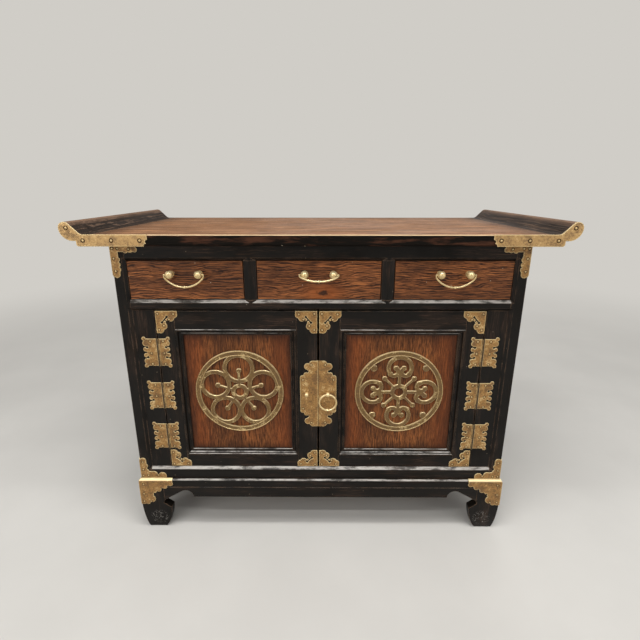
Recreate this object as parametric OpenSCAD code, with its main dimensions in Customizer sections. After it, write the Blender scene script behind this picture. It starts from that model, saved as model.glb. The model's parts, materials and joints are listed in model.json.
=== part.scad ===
// Chinese cabinet on a stand: everted top, three drawers over two doors, brass mounts.
// Millimetres, Z up, front towards -Y, origin on the floor under the middle of the whole piece.

/* [Case] */
// Width of the case over its posts
case_w = 890; // [800:5:1000]
// Depth of the case over its posts
case_d = 470; // [400:5:560]
// Width of a corner post seen from the front
post_w = 27; // [24:1:34]
// Depth of a corner post
post_d = 40; // [32:1:50]
// Depth of the front rails
rail_d = 26; // [24:0.5:30]
// Height of the bottom rail
bottom_rail_h = 30; // [24:1:40]
// Height of the cupboard opening
cupboard_h = 403; // [380:1:440]
// Height of the rail under the drawers
middle_rail_h = 24; // [20:1:32]
// Height of the drawer openings
drawer_opening_h = 87; // [78:1:100]
// Height of the rail under the top
top_rail_h = 35; // [30:1:45]
// Width of the bevel round each opening
edge_bevel = 6; // [3:0.5:7]
// Width of a divider between two drawers
divider_w = 28; // [24:1:34]
// Width of the bevel on each side of a divider
divider_bevel = 11; // [6:0.5:11.5]
// Middle of the left divider
divider_left_x = -152; // [-170:1:-135]
// Middle of the right divider
divider_right_x = 147; // [130:1:165]
// Thickness of the side and back panels
panel_t = 8; // [6:0.5:12]
// How far the side and back panels stand back from their frames
panel_recess = 6; // [4:0.5:9]
// Thickness of the floor of the cupboard
floor_t = 14; // [10:1:18]
// How far the floor stands above the bottom rail as a stop for the doors
door_stop_h = 6; // [4:0.5:10]
// Thickness of the board under the drawers
dust_board_t = 14; // [10:1:18]

/* [Top] */
// Thickness of the top
top_t = 24; // [20:1:30]
// How far the top stands out in front of the case
top_front_overhang = 40; // [36:1:60]
// How far the top stands out behind the case
top_back_overhang = 10; // [6:1:30]
// How far the tip of a flange stands out beside the case
top_side_overhang = 80; // [70:1:110]
// Radius of the rounded crest of a flange
crest_r = 12; // [10:0.5:14]
// Height of the middle of the crest above the top surface
crest_rise = 13; // [11:0.5:20]
// Radius of the belly under a flange
belly_r = 26; // [24:0.5:30]
// Radius of the cove at the foot of a flange
cove_r = 14; // [10:0.5:18]
// Width of the end board from its joint to the foot of the belly
end_board_w = 36; // [28:1:50]
// Radius of the rounded arris along the front of the top
arris_r = 3; // [2:0.5:5]

/* [Stand] */
// Height of the stand
stand_h = 147; // [125:1:160]
// How far the stand stands out in front of the case
stand_front_lip = 8; // [4:1:14]
// How far the stand stands out at each side and behind
stand_side_lip = 5; // [3:1:9]
// Width of the members of the stand's frame
stand_member_w = 60; // [50:1:80]
// Thickness of the stand's frame
stand_member_t = 22; // [18:1:28]
// Radius of the rounded top edge of the stand
stand_edge_r = 7; // [4:0.5:10]
// Thickness of the aprons and of the two wings of a leg
apron_t = 22; // [16:1:28]
// Height of an apron below the stand's frame
apron_h = 29; // [24:1:36]
// Height of the leg brackets below the stand's frame
bracket_h = 39; // [37:1:46]
// Width of the upper part of a leg
leg_w = 58; // [48:1:64]
// Height of a leg's neck between its bracket and its hoof
neck_h = 17; // [12:1:18]
// Width of a hoof foot across its tip
hoof_w = 74; // [68:1:84]
// Width of a hoof foot on the floor
hoof_sole_w = 43; // [36:1:50]
// How far the outer side of a hoof slopes in
hoof_taper = 9; // [5:1:14]
// Radius of the arch where an apron meets its leg bracket
arch_r = 19; // [14:1:22]
// Distance from the middle of that arch to the leg
arch_from_leg = 55; // [48:1:70]

/* [Doors] */
// Thickness of a door frame
door_t = 19.7; // [17:0.1:19.7]
// How far the doors and drawers stand back from the face of the case
front_recess = 6; // [5:0.5:8]
// Width of the fixed stile beside a door
hinge_stile_w = 48; // [44:1:60]
// Gap between a door and its fixed stile
hinge_gap = 2; // [1.5:0.1:3]
// Gap between the two doors
meeting_gap = 4.5; // [4:0.5:8]
// Middle of the gap between the doors
meeting_x = -4.5; // [-20:0.5:20]
// Gap above and below a door
door_gap = 1.5; // [1:0.1:2.5]
// Width of the stile on the hinge side
hinge_side_stile_w = 41; // [38:1:48]
// Width of the stile on the meeting side
meeting_stile_w = 47; // [45:1:56]
// Height of a door's top rail
door_top_rail_h = 43; // [36:1:50]
// Height of a door's bottom rail
door_bottom_rail_h = 31; // [28:1:44]
// Width of the moulding round a door panel
moulding_w = 15; // [12:0.5:18]
// Radius of the bead along the outside of the moulding
bead_r = 2.5; // [1.5:0.1:3]
// Depth of the panel's face behind the face of the door
panel_depth = 9; // [8:0.5:10]
// Thickness of a door panel
door_panel_t = 7; // [5:0.5:8]
// Depth of the groove that holds a door panel
groove_d = 6; // [4:0.5:10]

/* [Drawers] */
// Gap round a drawer front
drawer_gap = 1.2; // [0.8:0.1:2]
// Thickness of a drawer front
drawer_front_t = 18; // [16:0.5:19.5]
// Thickness of a drawer's sides and back
drawer_side_t = 10; // [8:0.5:13]
// Thickness of a drawer's bottom
drawer_bottom_t = 6; // [5:0.5:9]
// Height of a drawer's bottom above the lower edge of its sides
drawer_bottom_lift = 6; // [4:0.5:10]
// How far a drawer's sides stop short of the top of its front
drawer_side_drop = 3; // [2:0.5:10]
// Space behind a closed drawer
drawer_back_space = 12; // [6:1:30]
// Height of the guides beside the drawers
guide_h = 20; // [14:1:30]
// Height of the kickers above the drawers
kicker_h = 12; // [8:1:18]
// How far a kicker reaches over a drawer's side
kicker_reach = 12; // [8:1:16]

/* [Hinges] */
// Width of a hinge leaf on the case
case_leaf_w = 36; // [32:0.5:40]
// Width of a hinge leaf on a door
door_leaf_w = 28; // [26:0.5:36]
// Height of the plain part of a hinge leaf
leaf_h = 66; // [60:1:78]
// Thickness of the brass plates
plate_t = 1.6; // [1.2:0.1:2]
// Diameter of a hinge knuckle
knuckle_d = 5; // [4.6:0.2:6]
// Diameter of a hinge pin
pin_d = 2.6; // [2:0.1:3]
// Height of the lowest hinge above the bottom of the cupboard opening
hinge_low = 86; // [80:0.5:110]
// Height of the highest hinge below the top of the cupboard opening
hinge_high = 100; // [95:0.5:120]
// Radius of the scrolled corners of a leaf
leaf_scroll_r = 4.5; // [3.5:0.1:5]

/* [Brasses] */
// Width of the corner plates on the doors
door_corner_w = 49; // [44:1:54]
// Height of the upper corner plates on the doors
door_corner_high_h = 52; // [46:1:58]
// Height of the lower corner plates on the doors
door_corner_low_h = 45; // [40:1:45]
// Length of the level arm of an upper corner plate of the case
high_corner_w = 57; // [50:1:66]
// Length of the upright arm of an upper corner plate of the case
high_corner_h = 72; // [60:1:80]
// Length of the level arm of a lower corner plate of the case
low_corner_w = 62; // [56:1:70]
// Length of the upright arm of a lower corner plate of the case
low_corner_h = 57; // [50:1:70]
// Width of the arms of the case's corner plates
corner_arm = 19; // [16:0.5:20]
// Width of a stand cap along the top of the stand
stand_cap_w = 83; // [70:1:100]
// Height of a stand cap
stand_cap_h = 72; // [56:1:74]
// Width of a stand cap at its foot
stand_cap_foot = 32; // [26:1:40]
// Length of a top strap along the front edge from the foot of its belly
top_strap_run = 144; // [110:1:200]
// Rise of a dome nail
nail_rise = 0.8; // [0.5:0.1:1.2]
// Diameter of a dome nail
nail_d = 5; // [4:0.2:6]
// Width of the lock plate
lock_plate_w = 85; // [76:1:96]
// Height of the lock plate
lock_plate_h = 170; // [160:1:190]
// Outer radius of a medallion
medallion_r = 104; // [98:1:108]
// Width of a medallion's ring
medallion_band = 12; // [9:0.5:15]
// Thickness of a medallion
medallion_t = 4; // [3:0.5:5]
// Width of the strokes inside a medallion
stroke_w = 10; // [8:0.5:11]

/* [Pulls] */
// Distance between the two posts of a drawer pull
pull_spacing = 62; // [54:1:76]
// Diameter of a pull post's ball
ball_d = 17.5; // [14:0.5:18]
// Distance from the drawer front to the middle of the ball
ball_standoff = 14; // [12:0.5:16]
// Drop of a hanging bail below its pivots
bail_drop = 27; // [24:0.5:28]
// Diameter of the bail's wire
bail_wire_d = 3.4; // [2.4:0.1:3.4]
// How far the middle bail is raised, in degrees
raised_bail = 70; // [0:5:75]
// Outer diameter of the ring pull
ring_d = 44; // [40:0.5:45]
// Diameter of the ring's wire
ring_wire_d = 4.4; // [3:0.2:4.4]
// Diameter of an eye post's ball
eye_d = 10; // [9.4:0.2:12]
// Distance from the lock plate to the middle of the eye
eye_standoff = 9; // [8:0.5:12]
// Distance from the left eye post to the meeting line
eye_left_offset = 27; // [22:0.5:32]
// Distance from the right eye post to the meeting line
eye_right_offset = 22.5; // [22:0.5:30]

/* [Hidden] */
$fn = 48;
run_gap = 0.3;
pin_fit = 0.09;
overcut = 1;
joint_gap = 0.05;
arc_steps = 8;
side_rail_t = 20;
belly_step = 6;
belly_foot_r = 5;
nail_inset = 15;
strap_bite = [0.38, 0.19];
strap_foot = [0.1, 0.25];
neck_cut = 3;
hoof_belly = [0.9, 0.36];
hoof_flank = [0.3, 0.3];
hoof_tip = 0.93;
bead_step = 1.5;
notch_r = 2.8;
slit_part = 0.5;
slit_turn = 20;
pin_end = 1;
knuckle_lift = 0.2;
leaf_slit = 10.5;
leaf_notch_r = 1.8;
leaf_notch = 8;
leaf_lobes = [0.33, 0.11];
leaf_eye = 0.185;
corner_eyes = [[0.52, -0.273], [0.278, -0.523]];
corner_lobes = [[0.69, -0.31], [0.34, -0.68]];
corner_waist = [0.49, -0.46];
corner_scallop_r = 5.5;
corner_tip = 0.17;
corner_tip_grow = 0.5;
corner_end = [1.6, 0.9];
corner_leg_part = 0.82;
corner_end_part = 0.52;
corner_sink = 0.6;
scallop_pitch = 1.8;
leg_scallops = [0.45, 0.6, 0.75];
low_scallop = 0.6;
cap_scallop_r = 6;
cap_slope = 0.4;
cap_notch = 0.57;
cap_lobe = 0.78;
cap_lobe_r = 10;
lock_steps = [[1, 0.5], [0.72, 0.54], [0.6, 0.895], [0.28, 1]];
lock_lobes = [[0.86, 0.5, 0.14], [0.66, 0.585, 0.14], [0.58, 0.83, 0.19]];
lock_cap = [0.28, 0.21];
lock_notch = [0.6, 0.685];
lock_notch_r = 3.2;
knuckle_count = 5;
tab_start = 1.6;
ring_play = 1.6;
stem_part = 0.4;
foot_part = 0.8;
post_foot_t = 1.5;
pull_rise = 58;
lock_rise = 198;
eye_rise = 3;
medallion_rise = 5;
bail_leg = 2.5;
bail_corner_r = 9;
bail_play = 0.6;
dot_part = 1.25;
bow_part = 1.14;
bead_part = 1.8;
leg_part = 0.88;
arc_lap = 4;
leg_lap = 0.5;
bail_end = 4;

// Heights above the floor
bottom_rail_z = stand_h;
cupboard_z = bottom_rail_z + bottom_rail_h;
middle_rail_z = cupboard_z + cupboard_h;
drawer_z = middle_rail_z + middle_rail_h;
top_rail_z = drawer_z + drawer_opening_h;
top_z = top_rail_z + top_rail_h;
surface_z = top_z + top_t;
case_h = top_z - stand_h;

// Planes from front to back
whole_d = case_d + top_front_overhang + top_back_overhang;
strap_y = nail_rise - whole_d / 2;
top_y = strap_y + plate_t;
case_y = top_front_overhang - whole_d / 2;
case_back_y = case_y + case_d;
front_y = case_y + front_recess;
rail_back_y = case_y + rail_d;
door_back_y = front_y + door_t;
drawer_back_y = case_back_y - panel_recess - panel_t - drawer_back_space;
back_panel_y = case_back_y - panel_recess - panel_t;

// Widths from the middle
half_w = case_w / 2;
opening_x = half_w - post_w;
side_panel_x = half_w - panel_recess - panel_t;
tip_x = half_w + top_side_overhang;
crest_x = tip_x - crest_r;
crest_z = surface_z + crest_rise;
belly_x = tip_x - belly_r;
end_joint_x = belly_x - end_board_w;
stand_x = half_w + stand_side_lip;
stand_y = case_y - stand_front_lip;
stand_back_y = case_back_y + stand_side_lip;
frame_z = stand_h - stand_member_t;
apron_z = frame_z - apron_h;
bracket_z = frame_z - bracket_h;
hoof_h = bracket_z - neck_h;

// Hinges: the pin stands in front of the door's face
hinge_x = opening_x - hinge_stile_w - hinge_gap / 2;
hinge_y = front_y - knuckle_d / 2 - knuckle_lift;
leaf_clear = knuckle_d / 2 + run_gap;
hinge_zs = [
    cupboard_z + hinge_low,
    (cupboard_z + hinge_low + middle_rail_z - hinge_high) / 2,
    middle_rail_z - hinge_high
];
knuckle_h = leaf_h / knuckle_count;

// Doors
door_z = cupboard_z + door_gap;
door_top_z = middle_rail_z - door_gap;
panel_z = door_z + door_bottom_rail_h;
panel_top_z = door_top_z - door_top_rail_h;
panel_y = front_y + panel_depth;
medallion_z = (panel_z + panel_top_z) / 2 + medallion_rise;

// Drawers
drawer_spans = [
    [-opening_x, divider_left_x - divider_w / 2],
    [divider_left_x + divider_w / 2, divider_right_x - divider_w / 2],
    [divider_right_x + divider_w / 2, opening_x]
];
pull_z = drawer_z + pull_rise;
pull_y = front_y - ball_standoff;
bail_half = (pull_spacing + ball_d + bail_wire_d) / 2 + bail_play;
lock_z = cupboard_z + lock_rise;
eye_z = lock_z + eye_rise;
eye_y = front_y - plate_t - eye_standoff;
ring_r = (ring_d - ring_wire_d) / 2;

wood_dark = "#231d1a";
wood_warm = "#6b3a20";
wood_plain = "#8a6a48";
brass = "#b08d4a";

// Points on an arc, from one angle to another
function arc(x, z, r, a0, a1) = [
    for (i = [0:arc_steps]) let (a = a0 + (a1 - a0) * i / arc_steps) [x + r * cos(a), z + r * sin(a)]
];

// Points on a soft bend from p to r that leans towards q
function bend(p, q, r) = [
    for (i = [0:arc_steps]) let (t = i / arc_steps)
        (1 - t) * (1 - t) * p + 2 * t * (1 - t) * q + t * t * r
];

// A board between two values on each axis
module board(x, y, z) {
    translate([x[0], y[0], z[0]])
        cube([x[1] - x[0], y[1] - y[0], z[1] - z[0]]);
}

// An outline drawn as seen from the front, raised forwards from the plane y
module on_front(y, thickness) {
    translate([0, y, 0])
        rotate([90, 0, 0])
            linear_extrude(thickness) children();
}

// An outline of y and z, run along X
module along_x(x0, x1) {
    translate([x0, 0, 0])
        rotate([90, 0, 90])
            linear_extrude(x1 - x0) children();
}

// The piece and its mirror image across the middle
module both_sides() {
    children();
    mirror([1, 0, 0]) children();
}

// The bevel that runs round an opening in the face of the case, with its own width on each side
module opening_bevel(x, z, left, right) {
    b = edge_bevel;
    e = overcut;
    spread = 1 + e / b;
    intersection() {
        translate([0, 0, z[0] - b - 2 * e])
            linear_extrude(z[1] - z[0] + 2 * b + 4 * e)
                polygon([
                    [x[0] - left * spread, case_y - e], [x[1] + right * spread, case_y - e],
                    [x[1], case_y + b], [x[0], case_y + b]
                ]);
        along_x(x[0] - 2 * left, x[1] + 2 * right)
            polygon([
                [case_y - e, z[0] - b - e], [case_y + b, z[0]],
                [case_y + b, z[1]], [case_y - e, z[1] + b + e]
            ]);
    }
}

// A front member with the bevels of all the openings that it borders
module bevelled() {
    difference() {
        children();
        opening_bevel([-opening_x, opening_x], [cupboard_z, middle_rail_z], edge_bevel, edge_bevel);
        for (i = [0:2])
            opening_bevel(drawer_spans[i], [drawer_z, top_rail_z],
                i == 0 ? edge_bevel : divider_bevel, i == 2 ? edge_bevel : divider_bevel);
    }
}

// A member of a mitred frame along X: its outline is [distance inwards, height]
module mitred_member(length, width) {
    intersection() {
        along_x(-overcut, length + overcut) children();
        translate([0, 0, -length])
            linear_extrude(2 * length)
                polygon([
                    [joint_gap, 0], [length - joint_gap, 0],
                    [length - width - joint_gap, width], [width + joint_gap, width]
                ]);
    }
}

// Four mitred members round a rectangle that starts at the origin
module mitred_frame(w, h, width) {
    mitred_member(w, width) children();
    translate([w, 0, 0]) rotate([0, 0, 90]) mitred_member(h, width) children();
    translate([w, h, 0]) rotate([0, 0, 180]) mitred_member(w, width) children();
    translate([0, h, 0]) rotate([0, 0, 270]) mitred_member(h, width) children();
}

// A round bar along an arc in the XZ plane, from one angle to another
module wire_arc(x, z, r, d, a0, a1) {
    translate([x, 0, z])
        rotate([90, 0, 0])
            rotate([0, 0, a0])
                rotate_extrude(angle = a1 - a0)
                    translate([r, 0]) circle(d = d);
}

// Outline of an end board: slab, step, belly, rounded crest and cove
module end_outline() {
    line_offset = crest_z - crest_x + crest_r * sqrt(2);
    cove_x = surface_z + cove_r - line_offset - cove_r * sqrt(2);
    foot_x = belly_x - belly_step;
    polygon(concat(
        [[end_joint_x, surface_z], [end_joint_x, top_z]],
        arc(foot_x - belly_foot_r, top_z + belly_foot_r, belly_foot_r, -90, 0),
        [[foot_x, crest_z - belly_r]],
        arc(belly_x, crest_z, belly_r, -90, 0),
        arc(crest_x, crest_z, crest_r, 0, 135),
        arc(cove_x, surface_z + cove_r, cove_r, -45, -90)
    ));
}

module top_end() {
    color(wood_dark)
        on_front(whole_d / 2, whole_d / 2 - top_y) end_outline();
}

module top_panel() {
    back = whole_d / 2;
    color(wood_warm)
        along_x(-end_joint_x, end_joint_x)
            polygon(concat(
                [[back, top_z], [back, surface_z]],
                arc(top_y + arris_r, surface_z - arris_r, arris_r, 90, 180),
                [[top_y, top_z + arris_r], [top_y + arris_r, top_z]]
            ));
}

// Front plate of a top strap, with a stepped and scalloped inner end
module strap_outline() {
    inner_x = belly_x - belly_step - top_strap_run;
    difference() {
        union() {
            end_outline();
            translate([inner_x, top_z]) square([end_joint_x - inner_x + overcut, top_t]);
        }
        translate([inner_x, top_z + top_t * strap_bite[0]]) circle(r = top_t * strap_bite[1]);
        translate([inner_x + top_t * strap_foot[0], top_z]) circle(r = top_t * strap_foot[1]);
    }
}

// A dome nail on a front plate
module dome_nail(x, y, z) {
    half = nail_d / 2;
    r = (half * half + nail_rise * nail_rise) / (2 * nail_rise);
    intersection() {
        translate([x, y + r - nail_rise, z]) sphere(r);
        board([x - half, x + half], [y - nail_rise - overcut, y + overcut / 4], [z - half, z + half]);
    }
}

module top_straps() {
    inner_x = belly_x - belly_step - top_strap_run;
    nail_pitch = (top_strap_run - nail_inset) / 2.25;
    color(brass)
        both_sides() {
            on_front(top_y, plate_t) strap_outline();
            dome_nail(crest_x - crest_r / 3, strap_y, crest_z);
            for (i = [0:2])
                dome_nail(inner_x + nail_inset + i * nail_pitch, strap_y, top_z + top_t / 2);
        }
}

// Case

module front_post() {
    color(wood_dark)
        bevelled()
            board([-half_w, -opening_x], [case_y, case_y + post_d], [stand_h, top_z]);
}

module rear_post() {
    color(wood_dark)
        board([-half_w, -opening_x], [case_back_y - post_w, case_back_y], [stand_h, top_z]);
}

// A front rail between the posts
module front_rail(z0, z1) {
    color(wood_dark)
        bevelled()
            board([-opening_x, opening_x], [case_y, rail_back_y], [z0, z1]);
}

module divider(x) {
    color(wood_dark)
        bevelled()
            board([x - divider_w / 2, x + divider_w / 2], [case_y, rail_back_y], [drawer_z, top_rail_z]);
}

module hinge_stiles() {
    color(wood_dark)
        both_sides()
            board(
                [-opening_x, -hinge_x - hinge_gap / 2],
                [front_y, rail_back_y],
                [cupboard_z, middle_rail_z]
            );
}

// Side of the case: two rails and a panel that stands back between the posts
module case_side() {
    y = [case_y + post_d, case_back_y - post_w];
    color(wood_dark) {
        board([-half_w, -half_w + side_rail_t], y, [stand_h, cupboard_z - joint_gap]);
        board([-half_w, -half_w + side_rail_t], y, [top_rail_z + joint_gap, top_z]);
        board([-half_w + panel_recess, -side_panel_x], y, [cupboard_z, top_rail_z]);
    }
}

module case_back() {
    x = [-opening_x, opening_x];
    y = [case_back_y - side_rail_t, case_back_y];
    color(wood_plain) {
        board(x, y, [stand_h, cupboard_z - joint_gap]);
        board(x, y, [top_rail_z + joint_gap, top_z]);
        board(x, [back_panel_y, back_panel_y + panel_t], [cupboard_z, top_rail_z]);
    }
}

module floor_board() {
    z = [cupboard_z + door_stop_h - floor_t, cupboard_z + door_stop_h];
    wing_x = half_w - side_rail_t;
    back_y = case_back_y - side_rail_t;
    color(wood_plain) {
        board([-opening_x, opening_x], [rail_back_y, back_y], z);
        board([-wing_x, wing_x], [case_y + post_d, case_back_y - post_w], z);
    }
}

module dust_board() {
    z = [drawer_z - dust_board_t, drawer_z];
    color(wood_plain) {
        board([-opening_x, opening_x], [rail_back_y, back_panel_y], z);
        board([-side_panel_x, side_panel_x], [case_y + post_d, case_back_y - post_w], z);
    }
}

// Guides beside the drawers and kickers above their sides
module drawer_guides() {
    guide_z = [drawer_z + joint_gap, drawer_z + guide_h];
    kicker_z = [top_rail_z, top_rail_z + kicker_h];
    back_y = case_back_y - side_rail_t;
    half_divider = divider_w / 2;
    color(wood_plain) {
        for (x = [divider_left_x, divider_right_x]) {
            board([x - half_divider, x + half_divider], [rail_back_y, back_panel_y], guide_z);
            board([x - half_divider - kicker_reach, x + half_divider + kicker_reach],
                [rail_back_y, back_y], kicker_z);
        }
        both_sides() {
            board([-side_panel_x, -opening_x], [case_y + post_d, case_back_y - post_w], guide_z);
            board([-half_w + side_rail_t, -opening_x + kicker_reach],
                [case_y + post_d, case_back_y - post_w], kicker_z);
        }
    }
}

// Stand

module stand_frame() {
    color(wood_dark)
        translate([-stand_x, stand_y, frame_z])
            mitred_frame(2 * stand_x, stand_back_y - stand_y, stand_member_w)
                polygon(concat(
                    [[stand_member_w, stand_member_t], [stand_member_w, 0], [0, 0]],
                    arc(stand_edge_r, stand_member_t - stand_edge_r, stand_edge_r, 180, 90)
                ));
}

// Outline of an apron: level middle, an arch at each end and a bracket down to the leg
module apron_outline(half) {
    arch_x = half - arch_from_leg;
    drop = bracket_z - apron_z;
    reach = sqrt(arch_from_leg * arch_from_leg + drop * drop);
    meet = atan2(drop, arch_from_leg) + acos(arch_r / reach);
    side = concat(
        arc(arch_x, apron_z, arch_r, 180, meet),
        [[half, bracket_z], [half, frame_z]]
    );
    polygon(concat(side, [for (i = [len(side) - 1:-1:0]) [-side[i][0], side[i][1]]]));
}

module apron_front() {
    color(wood_dark)
        on_front(stand_y + apron_t, apron_t) apron_outline(stand_x - leg_w);
}

module apron_back() {
    color(wood_dark)
        on_front(stand_back_y, apron_t) apron_outline(stand_x - leg_w);
}

module side_aprons() {
    middle_y = (stand_y + stand_back_y) / 2;
    color(wood_dark)
        both_sides()
            translate([0, middle_y, 0])
                along_x(-stand_x, -stand_x + apron_t)
                    apron_outline((stand_back_y - stand_y) / 2 - leg_w);
}

// Outline of a leg: straight above, a drawn-in neck and a hoof that narrows to the floor
module leg_outline() {
    neck = [leg_w - neck_cut, (bracket_z + hoof_h) / 2 + 1];
    tip = [hoof_w, hoof_h * hoof_tip];
    sole = [hoof_taper + hoof_sole_w, 0];
    polygon(concat(
        [[0, frame_z], [0, hoof_h]],
        bend([0, hoof_h], [hoof_taper * hoof_flank[0], hoof_h * hoof_flank[1]], [hoof_taper, 0]),
        bend(sole, [sole[0] + (tip[0] - sole[0]) * hoof_belly[0], hoof_h * hoof_belly[1]], tip),
        [neck, [leg_w, bracket_z], [leg_w, frame_z]]
    ));
}

// A leg at the front left corner: two wings that meet in the corner
module corner_leg() {
    reach = hoof_w + overcut;
    color(wood_dark)
        translate([-stand_x, stand_y, 0])
            difference() {
                intersection() {
                    translate([0, reach, 0]) rotate([90, 0, 0]) linear_extrude(reach) leg_outline();
                    rotate([90, 0, 90]) linear_extrude(reach) leg_outline();
                }
                translate([apron_t, apron_t, -overcut]) cube([reach, reach, frame_z + 2 * overcut]);
            }
}

module to_rear() {
    translate([0, stand_y + stand_back_y, 0]) mirror([0, 1, 0]) children();
}

// Brass corners

// Upper case corner from its outer corner, arms to the right and down, with scalloped edges
module upper_corner_outline() {
    w = high_corner_w;
    h = high_corner_h;
    a = corner_arm;
    r = corner_scallop_r;
    leg = a * corner_leg_part;
    translate([0, -a + r / 2]) square([w - r, a - r / 2]);
    translate([0, -a / 2]) square([w - r / 2, a / 2]);
    for (k = [0:2])
        translate([w - r - k * scallop_pitch * r, r + 2 - a - k]) circle(r = r);
    translate([0, leg / 2 - h]) square([leg, h - leg / 2]);
    translate([leg / 2, leg / 2 - h]) circle(r = leg / 2);
    for (share = leg_scallops)
        translate([leg - r / 2, -h * share]) circle(r = r);
}

// Lower case corner from its outer corner, arms to the right and up, with a round end
module lower_corner_outline() {
    w = low_corner_w;
    h = low_corner_h;
    a = corner_arm;
    end_r = a * corner_end_part;
    leg = a * corner_leg_part;
    r = corner_scallop_r;
    square([w - end_r, a / 2]);
    intersection() {
        translate([w - end_r, end_r * corner_sink]) circle(r = end_r);
        square([w, 2 * a]);
    }
    translate([w / 2, a / 2]) circle(r = a / 2);
    square([w / 2 - r, a]);
    square([leg, h - leg / 2]);
    translate([leg / 2, h - leg / 2]) circle(r = leg / 2);
    translate([leg - r / 2, h * low_scallop]) circle(r = r);
    translate([leg - r / 4, a]) circle(r = r);
}

// A case corner plate that wraps the left post: its outline is drawn twice
module wrapped_corner(z) {
    translate([-half_w, 0, z])
        on_front(case_y, plate_t) {
            children();
            translate([-plate_t, 0]) intersection() {
                children();
                translate([0, -case_h]) square([2 * plate_t, 2 * case_h]);
            }
        }
    translate([-half_w - plate_t, case_y, z])
        rotate([90, 0, 90])
            linear_extrude(plate_t) children();
}

// Outline of a stand cap from the top corner of the stand: a scalloped slope, a pierced notch and a lobe
module cap_outline() {
    w = stand_cap_w;
    h = stand_cap_h;
    f = stand_cap_foot;
    r = cap_scallop_r;
    side = -plate_t - overcut;
    high = [w - r, -2 * r];
    low = [f + 2.5 * r, -h * cap_slope];
    notch = [f + notch_r, -h * cap_notch];
    difference() {
        union() {
            polygon([
                [side, -side], [w - 1, -side], [w - 1, -2 * r], low, [f + r, notch[1] + notch_r],
                [f, notch[1] - notch_r], [f - r, r - h], [r, -h], [side, -h]
            ]);
            for (k = [0:2])
                translate(high + k * (low - high) / 2) circle(r = r);
            translate([f + 4 - cap_lobe_r, -h * cap_lobe]) circle(r = cap_lobe_r);
            translate([f / 2, r - h]) circle(r = r);
        }
        translate(notch) circle(r = notch_r);
    }
}

// One wing of a stand cap: a shell round the rounded edge, cut to the outline and clear of the case
module cap_wing(lip) {
    r = stand_edge_r;
    t = plate_t;
    reach = min(r, lip - t - run_gap);
    intersection() {
        along_x(-t, stand_cap_w + t)
            difference() {
                union() {
                    translate([-t, -stand_cap_h]) square([t + overcut, stand_cap_h - r]);
                    intersection() {
                        translate([r, -r]) circle(r = r + t);
                        translate([-t, -r]) square([reach + t, r + t]);
                    }
                }
                translate([0, -stand_cap_h - overcut]) square([r + t, stand_cap_h - r + overcut]);
                translate([r, -r]) circle(r = r);
                translate([r, -r - overcut]) square([r + t, r + overcut]);
            }
        on_front(r + t, r + 3 * t) cap_outline();
        translate([0, 0, -stand_cap_h - overcut])
            linear_extrude(stand_cap_h + r)
                polygon([
                    [-2 * t, -2 * t], [stand_cap_w + 2 * t, -2 * t],
                    [stand_cap_w + 2 * t, stand_cap_w], [stand_cap_w, stand_cap_w]
                ]);
    }
}

module corner_brasses() {
    color(brass)
        both_sides() {
            wrapped_corner(top_z) upper_corner_outline();
            wrapped_corner(stand_h) lower_corner_outline();
            translate([-stand_x, stand_y, stand_h]) {
                cap_wing(stand_front_lip);
                mirror([1, -1, 0]) cap_wing(stand_side_lip);
            }
        }
}

// Hinges

// A round hole with a slit that runs outwards from it at the given angle
module keyhole(r, run, turn) {
    circle(r = r);
    rotate(turn)
        translate([0, -r * slit_part]) square([run, 2 * r * slit_part]);
}

// Outline of a leaf of the given width on the right of its pin
module leaf_outline(w) {
    s = leaf_scroll_r;
    outer_lobe = s * 1.7;
    inner_lobe = s * 1.2;
    difference() {
        union() {
            translate([leaf_clear, -leaf_h / 2]) square([w - leaf_clear - 1.5 * s, leaf_h]);
            for (m = [-1, 1]) {
                translate([w - s, m * leaf_h / 2]) circle(r = s);
                translate([w - outer_lobe - 1, m * leaf_h * leaf_lobes[0]]) circle(r = outer_lobe);
                translate([w - inner_lobe - 1.5, m * leaf_h * leaf_lobes[1]]) circle(r = inner_lobe);
            }
        }
        for (m = [-1, 1])
            translate([w - leaf_slit, m * leaf_h * leaf_eye]) keyhole(notch_r, 2 * leaf_slit, m * slit_turn);
        translate([w - leaf_notch, 0]) keyhole(leaf_notch_r, 2 * leaf_notch, 0);
    }
}

// A leaf on the right of its pin with every second knuckle from the given one
module leaf(first, w) {
    barrel = knuckle_h - 2 * joint_gap;
    difference() {
        union() {
            on_front(front_y, plate_t) leaf_outline(w);
            for (k = [first:2:knuckle_count - 1])
                translate([0, 0, -leaf_h / 2 + k * knuckle_h + joint_gap]) {
                    translate([0, hinge_y, 0]) cylinder(d = knuckle_d, h = barrel);
                    board([tab_start, leaf_clear + overcut], [front_y - plate_t, front_y], [0, barrel]);
                }
        }
        translate([0, hinge_y, -leaf_h]) cylinder(d = pin_d + 2 * pin_fit, h = 2 * leaf_h);
    }
}

module case_hinge_leaves() {
    color(brass)
        both_sides()
            for (z = hinge_zs)
                translate([-hinge_x, 0, z]) mirror([1, 0, 0]) leaf(0, case_leaf_w);
}

module left_hinge_leaves() {
    color(brass)
        for (z = hinge_zs)
            translate([-hinge_x, 0, z]) leaf(1, door_leaf_w);
}

module hinge_pins() {
    color(brass)
        both_sides()
            for (z = hinge_zs)
                translate([-hinge_x, hinge_y, z - leaf_h / 2 - pin_end])
                    cylinder(d = pin_d, h = leaf_h + 2 * pin_end);
}

// Doors, left at side -1 and right at side 1

function door_span(side) = side < 0
    ? [-hinge_x + hinge_gap / 2, meeting_x - meeting_gap / 2]
    : [meeting_x + meeting_gap / 2, hinge_x - hinge_gap / 2];

function sight_span(side) = door_span(side) + (side < 0
    ? [hinge_side_stile_w, -meeting_stile_w]
    : [meeting_stile_w, -hinge_side_stile_w]);

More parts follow.
